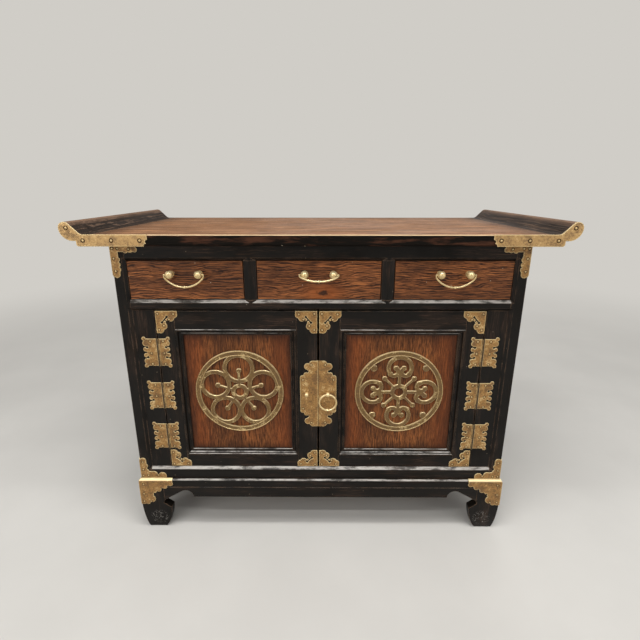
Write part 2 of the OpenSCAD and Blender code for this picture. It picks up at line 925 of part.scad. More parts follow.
module door_frame(side) {
    outer = door_span(side);
    sight = sight_span(side);
    y = [front_y, door_back_y];
    color(wood_dark)
        difference() {
            union() {
                board([outer[0], sight[0]], y, [door_z, door_top_z]);
                board([sight[1], outer[1]], y, [door_z, door_top_z]);
                board([sight[0] + joint_gap, sight[1] - joint_gap], y, [door_z, panel_z]);
                board([sight[0] + joint_gap, sight[1] - joint_gap], y, [panel_top_z, door_top_z]);
            }
            board([sight[0] - groove_d, sight[1] + groove_d], [panel_y, panel_y + door_panel_t],
                [panel_z - groove_d, panel_top_z + groove_d]);
        }
}

module door_panel(side) {
    sight = sight_span(side);
    into = groove_d - run_gap;
    color(wood_warm)
        board([sight[0] - into, sight[1] + into], [panel_y, panel_y + door_panel_t],
            [panel_z - into, panel_top_z + into]);
}

// Section of the door moulding: bead, cove and a lower bead beside the panel
module moulding_outline() {
    b = bead_r;
    top = panel_depth;
    cove_w = moulding_w - 4 * b;
    r = min(cove_w, top - bead_step - b);
    polygon(concat(
        [[0, 0]],
        arc(b, top, b, 180, 0),
        arc(2 * b + r, top - bead_step, r, 180, 270),
        arc(moulding_w - b, b, b, 180, 0),
        [[moulding_w, 0]]
    ));
}

module door_moulding(side) {
    sight = sight_span(side);
    color(wood_dark)
        translate([sight[0] + joint_gap, panel_y, panel_z + joint_gap])
            rotate([90, 0, 0])
                mitred_frame(sight[1] - sight[0] - 2 * joint_gap,
                    panel_top_z - panel_z - 2 * joint_gap, moulding_w)
                    moulding_outline();
}

// A point at shares of a width and a height
function at(w, h, share) = [w * share[0], h * share[1]];

// Outline of a door corner plate from its outer corner, arms to the right and down
module door_corner_outline(h) {
    w = door_corner_w;
    tip = w * corner_tip;
    end = tip * corner_end;
    eyes = [for (share = corner_eyes) at(w, h, share)];
    lobes = [for (share = corner_lobes) at(w, h, share)];
    middle = (eyes[0] + eyes[1]) / 2;
    slit = eyes[0] - eyes[1];
    turn = atan2(slit[1], slit[0]);
    difference() {
        union() {
            polygon([
                [0, 0], [0, tip - h], [tip, tip - h], lobes[1], at(w, h, corner_waist), lobes[0],
                [w - tip, -tip], [w - tip, 0]
            ]);
            for (lobe = lobes)
                translate(lobe) circle(r = tip);
            translate([w - tip, -tip]) circle(r = tip + corner_tip_grow);
            translate([tip, tip - h]) circle(r = tip + corner_tip_grow);
            translate([w - end[0], -end[1]]) square(end);
            translate([0, -h]) square([end[1], end[0]]);
        }
        for (eye = eyes)
            translate(eye) circle(r = notch_r);
        translate(middle) rotate(turn) square([norm(slit), notch_r], center = true);
        translate(middle) rotate(turn - 90) translate([0, -notch_r / 2]) square([w, notch_r]);
    }
}

// The four corner plates of a door
module door_corners(side) {
    span = door_span(side);
    half = (span[1] - span[0]) / 2;
    color(brass)
        translate([span[0] + half, 0, 0])
            on_front(front_y, plate_t)
                for (mx = [0, 1])
                    mirror([mx, 0]) {
                        translate([-half, door_top_z]) door_corner_outline(door_corner_high_h);
                        translate([-half, door_z]) mirror([0, 1]) door_corner_outline(door_corner_low_h);
                    }
}

// A curved stroke of even width that ends in dots
module stroke_arc(r, a0, a1) {
    reach = 2 * (r + stroke_w);
    difference() {
        circle(r = r + stroke_w / 2);
        circle(r = r - stroke_w / 2);
        polygon(concat([[0, 0]], [
            for (i = [0:arc_steps]) let (a = a1 + (a0 + 360 - a1) * i / arc_steps)
                [reach * cos(a), reach * sin(a)]
        ]));
    }
    for (a = [a0, a1])
        translate([r * cos(a), r * sin(a)]) circle(d = stroke_w * dot_part);
}

module medallion_ring() {
    difference() {
        circle(r = medallion_r);
        circle(r = medallion_r - medallion_band);
    }
}

// Plum blossom: five ring petals round a small ring, with stamens
module blossom() {
    inside = medallion_r - medallion_band;
    petal_r = (inside + stroke_w / 4) * sin(36) / (1 + sin(36));
    petal_at = inside - petal_r + stroke_w / 4;
    core_r = inside * 0.17;
    for (i = [0:4])
        rotate([0, 0, 90 + 72 * i]) {
            translate([petal_at, 0])
                difference() {
                    circle(r = petal_r + stroke_w / 4);
                    circle(r = petal_r - stroke_w * 0.75);
                }
            translate([core_r, -stroke_w * 0.3]) square([petal_at * 0.62, stroke_w * 0.6]);
            translate([petal_at * 0.9, 0]) circle(r = stroke_w * 0.62);
        }
    difference() {
        circle(r = core_r + stroke_w / 2);
        circle(r = core_r - stroke_w / 2);
    }
}

// Four cloud heads round a small ring, with a pearl between each two
module clouds() {
    inside = medallion_r - medallion_band;
    big = inside * 0.29;
    curl = big * 0.38;
    head_at = inside - big - stroke_w * 0.4;
    turn = 35;
    curl_x = (big - curl) * cos(turn);
    curl_y = (big - curl) * sin(turn);
    core_r = inside * 0.17;
    for (i = [0:3])
        rotate([0, 0, 90 * i]) {
            translate([0, head_at]) {
                stroke_arc(big, -turn, 180 + turn);
                translate([curl_x, -curl_y]) stroke_arc(curl, 150 - turn, 360 - turn);
                translate([-curl_x, -curl_y]) stroke_arc(curl, 180 + turn, 390 + turn);
            }
            translate([-stroke_w * 0.4, core_r]) square([stroke_w * 0.8, head_at - core_r - curl]);
            rotate([0, 0, 45]) {
                translate([inside - stroke_w * 0.6, 0]) circle(r = stroke_w * 0.8);
                translate([core_r, -stroke_w * 0.3]) square([inside * 0.36, stroke_w * 0.6]);
                translate([core_r + inside * 0.36, 0]) circle(r = stroke_w * 0.62);
            }
        }
    difference() {
        circle(r = core_r + stroke_w / 2);
        circle(r = core_r - stroke_w / 2);
    }
}

module medallion(side) {
    sight = sight_span(side);
    color(brass)
        translate([(sight[0] + sight[1]) / 2, 0, medallion_z])
            on_front(panel_y, medallion_t) {
                medallion_ring();
                children();
            }
}

// Outline of the whole lock plate round its middle: stepped ends with lobes and four round notches
module lock_outline() {
    w = lock_plate_w / 2;
    h = lock_plate_h / 2;
    cap_r = w * lock_cap[1];
    difference() {
        union() {
            for (step = lock_steps)
                square([2 * w * step[0], 2 * h * step[1]], center = true);
            for (mx = [-1, 1], mz = [-1, 1]) {
                for (lobe = lock_lobes)
                    translate([mx * w * lobe[0], mz * h * lobe[1]]) circle(r = w * lobe[2]);
                translate([mx * w * lock_cap[0], mz * (h - cap_r)]) circle(r = cap_r);
            }
        }
        for (mx = [-1, 1], mz = [-1, 1])
            translate([mx * w * lock_notch[0], mz * h * lock_notch[1]]) circle(r = lock_notch_r);
    }
}

// Half of the lock plate, cut at the meeting line of the doors
module lock_plate(side) {
    color(brass)
        on_front(front_y, plate_t)
            intersection() {
                translate([meeting_x, lock_z]) lock_outline();
                translate([side < 0 ? meeting_x - lock_plate_w : meeting_x + run_gap, 0])
                    square([lock_plate_w - (side < 0 ? run_gap : 0), top_z]);
            }
}

// A turned post that stands out to the front: foot, stem and ball
module turned_post(ball, standoff) {
    rotate([90, 0, 0])
        rotate([0, 0, 45])
            rotate_extrude()
                intersection() {
                    union() {
                        translate([0, standoff]) circle(d = ball);
                        square([ball * stem_part / 2, standoff]);
                        square([ball * foot_part / 2, post_foot_t]);
                    }
                    square(standoff + ball);
                }
}

// An eye post: its ball is pierced from side to side
module eye_post(x) {
    color(brass)
        translate([x, front_y - plate_t, eye_z])
            difference() {
                turned_post(eye_d, eye_standoff);
                translate([-eye_d, -eye_standoff, 0])
                    rotate([0, 90, 0])
                        cylinder(d = ring_wire_d + ring_play, h = 2 * eye_d);
            }
}

module ring_pull() {
    color(brass)
        translate([meeting_x + eye_right_offset, eye_y, eye_z - ring_r])
            rotate([90, 0, 0])
                rotate_extrude() translate([ring_r, 0]) circle(d = ring_wire_d);
}

// Drawers, 0 left, 1 middle, 2 right

module drawer_front(i) {
    span = drawer_spans[i];
    color(wood_warm)
        board([span[0] + drawer_gap, span[1] - drawer_gap], [front_y, front_y + drawer_front_t],
            [drawer_z + drawer_gap, top_rail_z - drawer_gap]);
}

module drawer_box(i) {
    x0 = drawer_spans[i][0] + drawer_gap;
    x1 = drawer_spans[i][1] - drawer_gap;
    t = drawer_side_t;
    y = [front_y + drawer_front_t, drawer_back_y];
    low = drawer_z + run_gap;
    high = top_rail_z - drawer_gap - drawer_side_drop;
    bottom = [low + drawer_bottom_lift, low + drawer_bottom_lift + drawer_bottom_t];
    groove = t / 2;
    color(wood_plain) {
        difference() {
            union() {
                board([x0, x0 + t], y, [low, high]);
                board([x1 - t, x1], y, [low, high]);
            }
            board([x0 + t - groove, x1 - t + groove], [y[0] - overcut, y[1] + overcut], bottom);
        }
        board([x0 + t + joint_gap, x1 - t - joint_gap], [y[1] - t, y[1]], [bottom[1] + joint_gap, high]);
        board([x0 + t - groove + joint_gap, x1 - t + groove - joint_gap], y,
            [bottom[0] + joint_gap, bottom[1] - joint_gap]);
    }
}

function pull_x(i) = (drawer_spans[i][0] + drawer_spans[i][1]) / 2;

// Two ball posts, each pierced from side to side for the end of the bail
module pull_posts(i) {
    color(brass)
        for (s = [-1, 1])
            translate([pull_x(i) + s * pull_spacing / 2, front_y, pull_z])
                difference() {
                    turned_post(ball_d, ball_standoff);
                    translate([-ball_d, -ball_standoff, 0])
                        rotate([0, 90, 0])
                            cylinder(d = bail_wire_d + 2 * pin_fit, h = 2 * ball_d);
                }
}

// A ball whose poles face front and back
module bead(d) {
    rotate([90, 0, 0]) rotate([0, 0, 45]) sphere(d = d);
}

// A bail that hangs from its pivots: ends turned in, short legs, corners and a bow with a bead
module hanging_bail() {
    half = bail_half;
    end_x = (pull_spacing / 2) - bail_end;
    bow = bail_drop - bail_leg;
    r = bail_corner_r;
    lift = (pow(half - r, 2) - pow(bow - r, 2)) / (2 * (bow - r));
    big = bow + lift;
    meet = atan2(half - r, lift);
    d = bail_wire_d;
    wire_arc(0, lift - bail_leg, big, d * bow_part, 270 - meet, 270 + meet);
    translate([0, 0, -bail_drop]) bead(d * bead_part);
    for (m = [0, 1])
        mirror([m, 0, 0]) {
            wire_arc(half - r, -bail_leg, r, d, 270 + meet - arc_lap, 360);
            translate([half, 0, -bail_leg - leg_lap]) cylinder(d = d * leg_part, h = bail_leg + leg_lap);
            translate([half, 0, 0]) bead(d * bow_part);
            translate([end_x, 0, 0]) rotate([0, 90, 0]) cylinder(d = d, h = half - end_x);
        }
}

module bail(i, raised) {
    color(brass)
        translate([pull_x(i), pull_y, pull_z])
            rotate([-raised, 0, 0]) hanging_bail();
}

top_panel();
mirror([1, 0, 0]) top_end();  // top_end_left
top_end();  // top_end_right
top_straps();
front_post();  // front_post_left
mirror([1, 0, 0]) front_post();  // front_post_right
rear_post();  // rear_post_left
mirror([1, 0, 0]) rear_post();  // rear_post_right
front_rail(top_rail_z, top_z);  // top_rail
front_rail(middle_rail_z, drawer_z);  // middle_rail
front_rail(bottom_rail_z, cupboard_z);  // bottom_rail
divider(divider_left_x);  // divider_left
divider(divider_right_x);  // divider_right
hinge_stiles();
case_side();  // side_left
mirror([1, 0, 0]) case_side();  // side_right
case_back();
floor_board();
dust_board();
drawer_guides();
stand_frame();
apron_front();
apron_back();
side_aprons();
corner_leg();  // leg_front_left
mirror([1, 0, 0]) corner_leg();  // leg_front_right
to_rear() corner_leg();  // leg_rear_left
to_rear() mirror([1, 0, 0]) corner_leg();  // leg_rear_right
corner_brasses();
case_hinge_leaves();
hinge_pins();
door_frame(-1);  // left_door_frame
door_moulding(-1);  // left_door_moulding
door_panel(-1);  // left_door_panel
medallion(-1) blossom();  // left_medallion
door_corners(-1);  // left_door_corners
left_hinge_leaves();
lock_plate(-1);  // left_lock_plate
eye_post(meeting_x - eye_left_offset);  // left_eye_post
door_frame(1);  // right_door_frame
door_moulding(1);  // right_door_moulding
door_panel(1);  // right_door_panel
medallion(1) clouds();  // right_medallion
door_corners(1);  // right_door_corners
mirror([1, 0, 0]) left_hinge_leaves();  // right_hinge_leaves
lock_plate(1);  // right_lock_plate
eye_post(meeting_x + eye_right_offset);  // right_eye_post
ring_pull();
drawer_front(0);  // left_drawer_front
drawer_box(0);  // left_drawer_box
pull_posts(0);  // left_pull_posts
bail(0, 0);  // left_bail
drawer_front(1);  // middle_drawer_front
drawer_box(1);  // middle_drawer_box
pull_posts(1);  // middle_pull_posts
bail(1, raised_bail);  // middle_bail
drawer_front(2);  // right_drawer_front
drawer_box(2);  // right_drawer_box
pull_posts(2);  // right_pull_posts
bail(2, 0);  // right_bail
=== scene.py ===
from functools import cache
import json
import math

import bmesh
import bpy
from bpy.props import FloatProperty, FloatVectorProperty, IntProperty, PointerProperty
from mathutils import Matrix, Vector
from mathutils.bvhtree import BVHTree

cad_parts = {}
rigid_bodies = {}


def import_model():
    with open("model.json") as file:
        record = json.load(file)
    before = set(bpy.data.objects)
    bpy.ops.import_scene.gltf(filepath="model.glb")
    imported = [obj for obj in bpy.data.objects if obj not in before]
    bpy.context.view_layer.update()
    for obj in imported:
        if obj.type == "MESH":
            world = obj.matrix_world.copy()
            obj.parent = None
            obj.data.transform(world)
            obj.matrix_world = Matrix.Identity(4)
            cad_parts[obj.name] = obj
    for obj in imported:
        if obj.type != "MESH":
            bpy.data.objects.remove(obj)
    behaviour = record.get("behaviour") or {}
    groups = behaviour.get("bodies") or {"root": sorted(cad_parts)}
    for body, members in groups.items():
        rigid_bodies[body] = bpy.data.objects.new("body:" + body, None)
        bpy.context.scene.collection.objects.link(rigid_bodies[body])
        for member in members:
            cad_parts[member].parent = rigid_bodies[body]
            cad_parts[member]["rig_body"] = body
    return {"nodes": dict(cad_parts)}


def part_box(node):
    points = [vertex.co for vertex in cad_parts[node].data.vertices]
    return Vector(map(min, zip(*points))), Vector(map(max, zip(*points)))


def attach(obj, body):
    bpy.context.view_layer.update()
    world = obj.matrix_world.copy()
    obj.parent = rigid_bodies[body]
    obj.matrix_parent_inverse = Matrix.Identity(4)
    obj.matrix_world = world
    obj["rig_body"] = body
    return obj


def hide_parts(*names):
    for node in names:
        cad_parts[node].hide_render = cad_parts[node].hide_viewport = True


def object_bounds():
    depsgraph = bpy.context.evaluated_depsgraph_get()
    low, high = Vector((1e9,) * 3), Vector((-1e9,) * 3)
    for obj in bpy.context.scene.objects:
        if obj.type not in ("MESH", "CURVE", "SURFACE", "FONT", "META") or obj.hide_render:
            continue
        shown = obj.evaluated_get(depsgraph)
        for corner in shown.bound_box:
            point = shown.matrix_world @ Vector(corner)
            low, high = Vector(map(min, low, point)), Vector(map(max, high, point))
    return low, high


bl_info = {
    "name": "Chinese Cabinet",
    "version": (1, 0, 0),
    "blender": (4, 5, 0),
    "location": "View3D > Sidebar > Cabinet",
    "description": "Worn lacquer, open-grained wood and aged brass for a cabinet on a stand",
    "category": "Object",
}

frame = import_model()
CAD_BOX = [list(corner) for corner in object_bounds()]


def srgb(red, green, blue):
    """A colour as it looks on a screen, 0 to 255, as linear values."""
    def linear(value):
        share = value / 255
        return share / 12.92 if share <= 0.04045 else ((share + 0.055) / 1.055) ** 2.4
    return linear(red), linear(green), linear(blue)


# Fixed values, in metres where they are lengths. A pair of lengths is the range over which an effect fades.

SIDES = ("left", "right")
DRAWERS = ("left", "middle", "right")
AXES = "XYZ"
LACQUER_ORDER = {"X": "XZY", "Y": "YXZ", "Z": "ZXY"}
BARE_ORDER = {**LACQUER_ORDER, "X": "XYZ"}

# Share of a line or of a normal that has to lie along an axis
MOSTLY = 0.9
MERGE_DISTANCE = 1e-6
FLAT_ANGLE = math.radians(0.4)
SHARP_ANGLE = math.radians(32)
NARROW_TIP = math.radians(20)
SEAM_REACH = 0.002
TOP_ARRIS = 0.002
EDGE_STEPS = 2
MEDALLION_STEPS = 3

# How many times as wide a nail's dark ring of painted shade and tarnish is as its head
NAIL_HOLLOW = 1.6
NAIL_HOLLOW_RISE = 0.00007
NAIL_STANDS = 0.00005
STRAP_RING = 0.0047
# How far each rim lies inside the medallion's outline, and the radius of its wire
MEDALLION_RIMS = ((0.0013, 0.0012), (0.0112, 0.0010))
RIM_SINK = 0.0001
RIM_SIDES = 8
RIM_STEPS = 96

# Places of the nails, as shares of the width and height of the plate that they hold
LEAF_NAILS = ((0.5, 0.12), (0.5, 0.47), (0.5, 0.86))
CORNER_NAILS = ((0.13, 0.13), (0.83, 0.15), (0.14, 0.84), (0.62, 0.38), (0.36, 0.66))
LOCK_NAILS = ((0.16, 0.28), (0.16, 0.72), (0.62, 0.06), (0.62, 0.94))
CASE_CORNER_NAILS = ((0.1, 0.12), (0.3, 0.12), (0.7, 0.14), (0.12, 0.42), (0.14, 0.8))
PLATE_MARGIN = 0.01

CARVING_FROM_SIDE = 0.040
CARVING_HEIGHT = 0.034
CARVING_REACH = 0.026
KNOT_FROM_MIDDLE = 0.008
KNOT_HEIGHT = 0.014
KNOT_SHAPE = (0.42, 1.0, 0.0)
KNOT_GLOW = (0.034, 0.012)
KNOT_HEART = (0.0135, 0.0085)
PANEL_WARM = (0.1, 0.045)
PANEL_SHADE = (0.014, 0.05)
TOP_ENDS = (0.04, 0.12)
TOP_BACK = (0.03, 0.12)
CREST_START = 0.011
CREST_FULL = 0.002
BARREL_LINE = (0.0022, 0.0014)
LOCK_SEAM = (0.003, 0.006)

LACQUER_PORES = srgb(12, 10, 9)
LACQUER_SPECKS = srgb(150, 132, 110)
FLANGE_GROUND = srgb(42, 33, 27)
FLANGE_STREAKS = srgb(104, 82, 66)
FLANGE_PORES = srgb(20, 15, 12)
FLANGE_CREST = srgb(128, 100, 80)
FLANGE_RIM = srgb(150, 122, 96)
WOOD_PORES = srgb(22, 13, 9)
DRAWER_GLOW = srgb(168, 104, 58)
DRAWER_WORN = srgb(120, 88, 62)
DRAWER_SPECKS = srgb(196, 180, 156)
KNOT_RED = srgb(150, 80, 34)
KNOT_BLACK = srgb(26, 15, 10)
PANEL_GLOW = srgb(154, 94, 48)
PANEL_RED = srgb(138, 76, 36)
PANEL_BROWN = srgb(32, 19, 13)
TOP_GLOW = srgb(176, 132, 94)
TOP_BROWN = srgb(46, 33, 26)
TOP_FRONT = srgb(82, 52, 38)
TOP_GREY = srgb(150, 124, 102)
TOP_ARRIS_HIGHLIGHT = srgb(214, 184, 146)
TOP_SPECKS = srgb(205, 190, 165)
BARE_GLOW = srgb(164, 132, 96)
BARE_STAIN = srgb(66, 48, 34)
BRASS_HIGHLIGHT = srgb(250, 228, 176)
PAINTED_BARREL_SHADE = srgb(30, 21, 14)
NAIL_SHADE_AND_DIRT = srgb(40, 28, 17)
WHITE = (1.0, 1.0, 1.0)

# Finishes of the brass: density of its dots, reach of its rims, share of tarnish, Metallic and Roughness
# where it is clean and where it is tarnished, strength of its rims, share of olive, least brightness from
# polish and painted light, and any line
SHEET = dict(dots=300.0, reach=0.0034, tarnish=0.68, metal=(0.45, 0.2), rough=(0.36, 0.56), rim=0.85)
BRASSES = {
    "Plate_Brass": SHEET,
    # The straps get a brighter brass than the plates: painted light from above
    "Strap_Brass": dict(SHEET, tarnish=0.6, polish_and_painted_light=0.2),
    "Lock_Brass": dict(SHEET, line="seam"),
    "Hinge_Brass": dict(SHEET, tarnish=0.75, line="barrel"),
    "Medallion_Brass": dict(
        dots=480.0, reach=0.0026, tarnish=0.6, metal=(0.5, 0.2), rough=(0.3, 0.5), rim=0.6, olive=0.95),
    "Handled_Brass": dict(
        dots=900.0, reach=0.0006, tarnish=0.12, metal=(0.45, 0.4), rough=(0.24, 0.34), rim=0.9, polish_and_painted_light=0.85),
    "Nail_Brass": dict(
        dots=900.0, reach=0.0006, tarnish=0.3, metal=(0.5, 0.4), rough=(0.3, 0.4), rim=0.5, polish_and_painted_light=0.6),
    "Rim_Brass": dict(
        dots=700.0, reach=0.0006, tarnish=0.3, metal=(0.5, 0.4), rough=(0.26, 0.4), rim=0.5, olive=0.5,
        polish_and_painted_light=0.32),
}

FLOOR_SIDES = 96
FLOOR_FADE = (1.1, 3.6)
LAMP_TARGET = (0, 0, 0.42)
SENSOR_WIDTH = 36
# Name, place, target, size, the setting that holds the power, and the share of it
LAMPS = (
    ("Overhead", (0, -0.85, 2.5), LAMP_TARGET, (1.9, 0.8), "overhead_power", 1.0),
    ("Strip_High", (0, -0.76, 2.6), (0, -0.2, 0.6), (2.8, 0.05), "strip_power", 1.0),
    ("Strip_Low", (0, -1.96, 2.6), (0, -0.2, 0.18), (2.8, 0.07), "strip_power", 1.0),
    ("Fill_Left", (-2.0, -2.6, 1.5), LAMP_TARGET, (2.2, 1.8), "fill_power", 1.0),
    ("Fill_Right", (2.4, -1.9, 1.2), LAMP_TARGET, (1.6, 1.6), "fill_power", 0.5),
    ("Fill_Behind", (0.6, 2.8, 2.0), LAMP_TARGET, (2.4, 1.6), "fill_power", 0.8),
)


# Settings

def length(name, description, default, low, high):
    """A setting in metres."""
    return FloatProperty(
        name=name, description=description, default=default, min=low, max=high, unit="LENGTH")


def paint(name, description, red, green, blue):
    """A colour setting, from its values on a screen."""
    return FloatVectorProperty(
        name=name, description=description, default=srgb(red, green, blue), min=0, max=1, subtype="COLOR")


def power(name, description, default):
    """A lamp's setting in watts."""
    return FloatProperty(name=name, description=description, default=default, min=0, max=500, unit="POWER")


class CabinetWood(bpy.types.PropertyGroup):
    """Sizes and colours of the wood and its lacquer."""
    edge: length("Worn Edge", "Width of the roundness worn onto wooden edges", 0.0011, 0.0002, 0.003)
    wear_reach: length("Wear Reach", "How far from an edge the lacquer is rubbed thin", 0.0026, 0.0005, 0.01)
    drawer_lines: length("Drawer Lines", "Distance between grain lines on the drawers", 0.0038, 0.002, 0.02)
    panel_lines: length("Panel Lines", "Distance between grain lines on the doors", 0.0034, 0.002, 0.02)
    top_lines: length("Top Lines", "Distance between grain lines on the top", 0.0056, 0.002, 0.04)
    lacquer: paint("Lacquer", "Nearly black lacquer", 21, 18, 15)
    lacquer_thin: paint("Thin Lacquer", "Brown where the lacquer lets the wood through", 62, 46, 36)
    # Pale of the painted highlight, with some dust, on bevels that face up; the hooves' curls take this pale
    # too
    pale_highlight_and_dust: paint("Painted Highlight and Dust", "Painted highlight, with some dust, on bevels that face up", 176, 170, 162)
    lacquer_worn: paint("Worn Lacquer", "Brown wood where the lacquer is rubbed through", 106, 84, 66)
    drawer_dark: paint("Drawer Dark Grain", "Dark lines of the drawer fronts", 34, 18, 11)
    drawer_light: paint("Drawer Light Grain", "Light bands of the drawer fronts", 124, 73, 40)
    panel_dark: paint("Panel Dark Grain", "Dark lines of the door panels", 42, 23, 12)
    panel_light: paint("Panel Light Grain", "Light bands of the door panels", 117, 68, 34)
    top_dark: paint("Top Dark Grain", "Dark lines of the top", 72, 48, 34)
    top_light: paint("Top Light Grain", "Light bands of the top", 140, 98, 66)
    bare_dark: paint("Bare Dark Grain", "Dark lines of the wood inside", 84, 62, 42)
    bare_light: paint("Bare Light Grain", "Light bands of the wood inside", 142, 112, 80)


class CabinetBrass(bpy.types.PropertyGroup):
    """Sizes and colours of the brass mounts."""
    plate_edge: length("Plate Edge", "Width of the filed edge round the plates", 0.0008, 0.0001, 0.001)
    medallion_edge: length("Medallion Edge", "Width of the medallions' round edge", 0.0019, 0.0002, 0.002)
    nail_radius: length("Nail Radius", "Radius of the heads of the small nails", 0.0023, 0.0005, 0.003)
    nail_rise: length("Nail Rise", "How far a nail's head stands out of its plate", 0.0007, 0.0002, 0.002)
    nail_sides: IntProperty(
        name="Nail Sides", description="Sides of a nail's head", default=12, min=6, max=24)
    aged: paint("Aged Brass", "Matt brass of the plates", 160, 120, 68)
    olive: paint("Olive Brass", "Duller, greener brass of the medallions", 116, 90, 52)
    tarnish: paint("Tarnish", "Brown tarnish in the hollows", 82, 56, 30)
    rubbed: paint("Rubbed Brass", "Brighter brass on rims and handles", 226, 200, 146)


class CabinetStage(bpy.types.PropertyGroup):
    """The camera, the lamps and the floor."""
    lens: FloatProperty(
        name="Lens", description="Focal length of the camera, in millimetres",
        default=24.33, min=10, max=100, unit="CAMERA")
    camera_place: FloatVectorProperty(
        name="Camera", description="Where the camera stands", default=(0.0049, -1.1371, 0.8399),
        subtype="XYZ", unit="LENGTH")
    camera_turn: FloatVectorProperty(
        name="Camera Turn", description="How the camera is turned",
        default=(math.radians(73), 0.0, math.radians(0.33)), subtype="EULER", unit="ROTATION")
    overhead_power: power("Overhead Power", "Power of the wide lamp above", 24)
    strip_power: power("Strip Power", "Power of each narrow lamp that gleams along the bevels", 18)
    fill_power: power("Fill Power", "Power of the wide lamps around", 30)
    ambient: FloatProperty(name="Ambient", description="Light from all round", default=0.3, min=0, max=2)
    pale: paint("Pale Ground", "Colour of the floor and of what lies behind", 208, 205, 199)
    floor_radius: length("Floor Radius", "Radius of the floor", 12, 2, 50)


# Shader nodes

class Graph:
    """Adds nodes to one tree and links them."""

    def __init__(self, tree):
        self.tree = tree

    def add(self, kind, given=None, **settings):
        node = self.tree.nodes.new("ShaderNode" + kind)
        for name, value in settings.items():
            setattr(node, name, value)
        for key, value in (given or {}).items():
            self.feed(node.inputs[key], value)
        return node

    def feed(self, socket, value):
        """Links a socket, or sets its value. A colour gets an alpha of 1."""
        if isinstance(value, bpy.types.NodeSocket):
            self.tree.links.new(value, socket)
        elif socket.type == "RGBA":
            socket.default_value = (*value, 1.0)
        else:
            socket.default_value = value

    def math(self, operation, *values, clamp=False):
        return self.add("Math", dict(enumerate(values)), operation=operation, use_clamp=clamp).outputs[0]

    def times(self, a, b):
        return self.math("MULTIPLY", a, b)

    def times_plus(self, a, b, c):
        return self.math("MULTIPLY_ADD", a, b, c)

    def vector_math(self, operation, *values, output="Vector"):
        return self.add("VectorMath", dict(enumerate(values)), operation=operation).outputs[output]

    def ramp(self, value, low, high, to_low=0.0, to_high=1.0):
        given = {"Value": value, "From Min": low, "From Max": high, "To Min": to_low, "To Max": to_high}
        return self.add("MapRange", given, interpolation_type="SMOOTHSTEP", clamp=True).outputs["Result"]

    def noise(self, vector, scale, detail, roughness):
        given = {"Vector": vector, "Scale": scale, "Detail": detail, "Roughness": roughness}
        return self.add("TexNoise", given).outputs["Fac"]

    def streaks(self, vector, scales, detail, roughness):
        """Noise with a scale of its own along each axis."""
        stretched = self.add("Mapping", {"Vector": vector, "Scale": scales}).outputs[0]
        return self.noise(stretched, 1.0, detail, roughness)

    def coordinates(self):
        return self.add("TexCoord").outputs["Object"]

    def axes(self, vector):
        """The X, Y and Z of a vector."""
        return self.add("SeparateXYZ", {0: vector}).outputs

    def joined(self, *values):
        """A vector of up to three values."""
        return self.add("CombineXYZ", dict(enumerate(values))).outputs[0]

    def reach(self, vector):
        """The length of a vector."""
        return self.vector_math("LENGTH", vector, output="Value")

    def facing_up(self):
        """1 where the surface faces up, and -1 where it faces down."""
        return self.axes(self.add("NewGeometry").outputs["Normal"])["Z"]

    def mix(self, factor, a, b, blend="MIX"):
        node = self.add("Mix", data_type="RGBA", blend_type=blend)
        self.feed(node.inputs["Factor"], factor)
        self.feed(node.inputs[6], a)
        self.feed(node.inputs[7], b)
        return node.outputs[2]

    def shaded(self, colour, amount):
        """A colour made darker or lighter by an amount."""
        return self.mix(1.0, colour, self.joined(amount, amount, amount), "MULTIPLY")

    def bump(self, height, distance, strength):
        given = {"Height": height, "Distance": distance, "Strength": strength}
        return self.add("Bump", given).outputs["Normal"]

    def use(self, effect, vector, given=None):
        """Places a shared effect with its own values, and gives its outputs."""
        node = self.add("Group", node_tree=groups()[effect])
        for key, value in {"Vector": vector, **(given or {})}.items():
            self.feed(node.inputs[key], value)
        return node.outputs


def new_group(name, amounts, *masks):
    """A node group that takes a vector and amounts and puts out masks, as its graph and its two ends."""
    group = bpy.data.node_groups.new(name, "ShaderNodeTree")
    group.interface.new_socket("Vector", in_out="INPUT", socket_type="NodeSocketVector")
    for amount, default in amounts.items():
        made = group.interface.new_socket(amount, in_out="INPUT", socket_type="NodeSocketFloat")
        made.default_value = default
    for mask in masks:
        group.interface.new_socket(mask, in_out="OUTPUT", socket_type="NodeSocketFloat")
    start = group.nodes.new("NodeGroupInput")
    end = group.nodes.new("NodeGroupOutput")
    return Graph(group), start.outputs, end.inputs


def edge_wear_group():
    """Along edges: the whole rim, the wear that breaks it up, and the thin groove just inside it."""
    g, given, out = new_group(
        "Edge wear", {"Reach": 0.002, "Noise Scale": 40.0}, "Wear", "Rim", "Groove")
    # How far the rounded normal turns away from the true one: 0 on flat faces, more towards an edge
    rounded = g.add("Bevel", {"Radius": given["Reach"]}, samples=4).outputs[0]
    normal = g.add("NewGeometry").outputs["Normal"]
    turn = g.math("SUBTRACT", 1.0, g.vector_math("DOT_PRODUCT", rounded, normal, output="Value"))
    rim = g.ramp(turn, 0.004, 0.07)
    patches = g.noise(given["Vector"], given["Noise Scale"], 5.0, 0.65)
    g.feed(out["Rim"], rim)
    g.feed(out["Groove"], g.times(g.ramp(turn, 0.0004, 0.0016), g.ramp(turn, 0.012, 0.003)))
    g.feed(out["Wear"], g.math("MULTIPLY", rim, g.ramp(patches, 0.38, 0.6), clamp=True))
    return g.tree


def highlight_mask_group():
    """A mask for painted highlights: where a surface leans back and faces up, as bevels do, whole and broken
    up along the grain.
    """
    g, given, out = new_group("Highlight mask", {"Low": 0.42, "High": 0.66}, "Lit", "Patches")
    facing = g.facing_up()
    lit = g.times(g.ramp(facing, given["Low"], given["High"]), g.ramp(facing, 0.995, 0.9))
    broken = g.ramp(g.streaks(given["Vector"], (22.0, 70.0, 70.0), 5.0, 0.7), 0.38, 0.58, 0.1, 1.0)
    g.feed(out["Lit"], lit)
    # Lit and its broken-up share are masks for painted highlights
    g.feed(out["Patches"], g.times(lit, broken))
    return g.tree


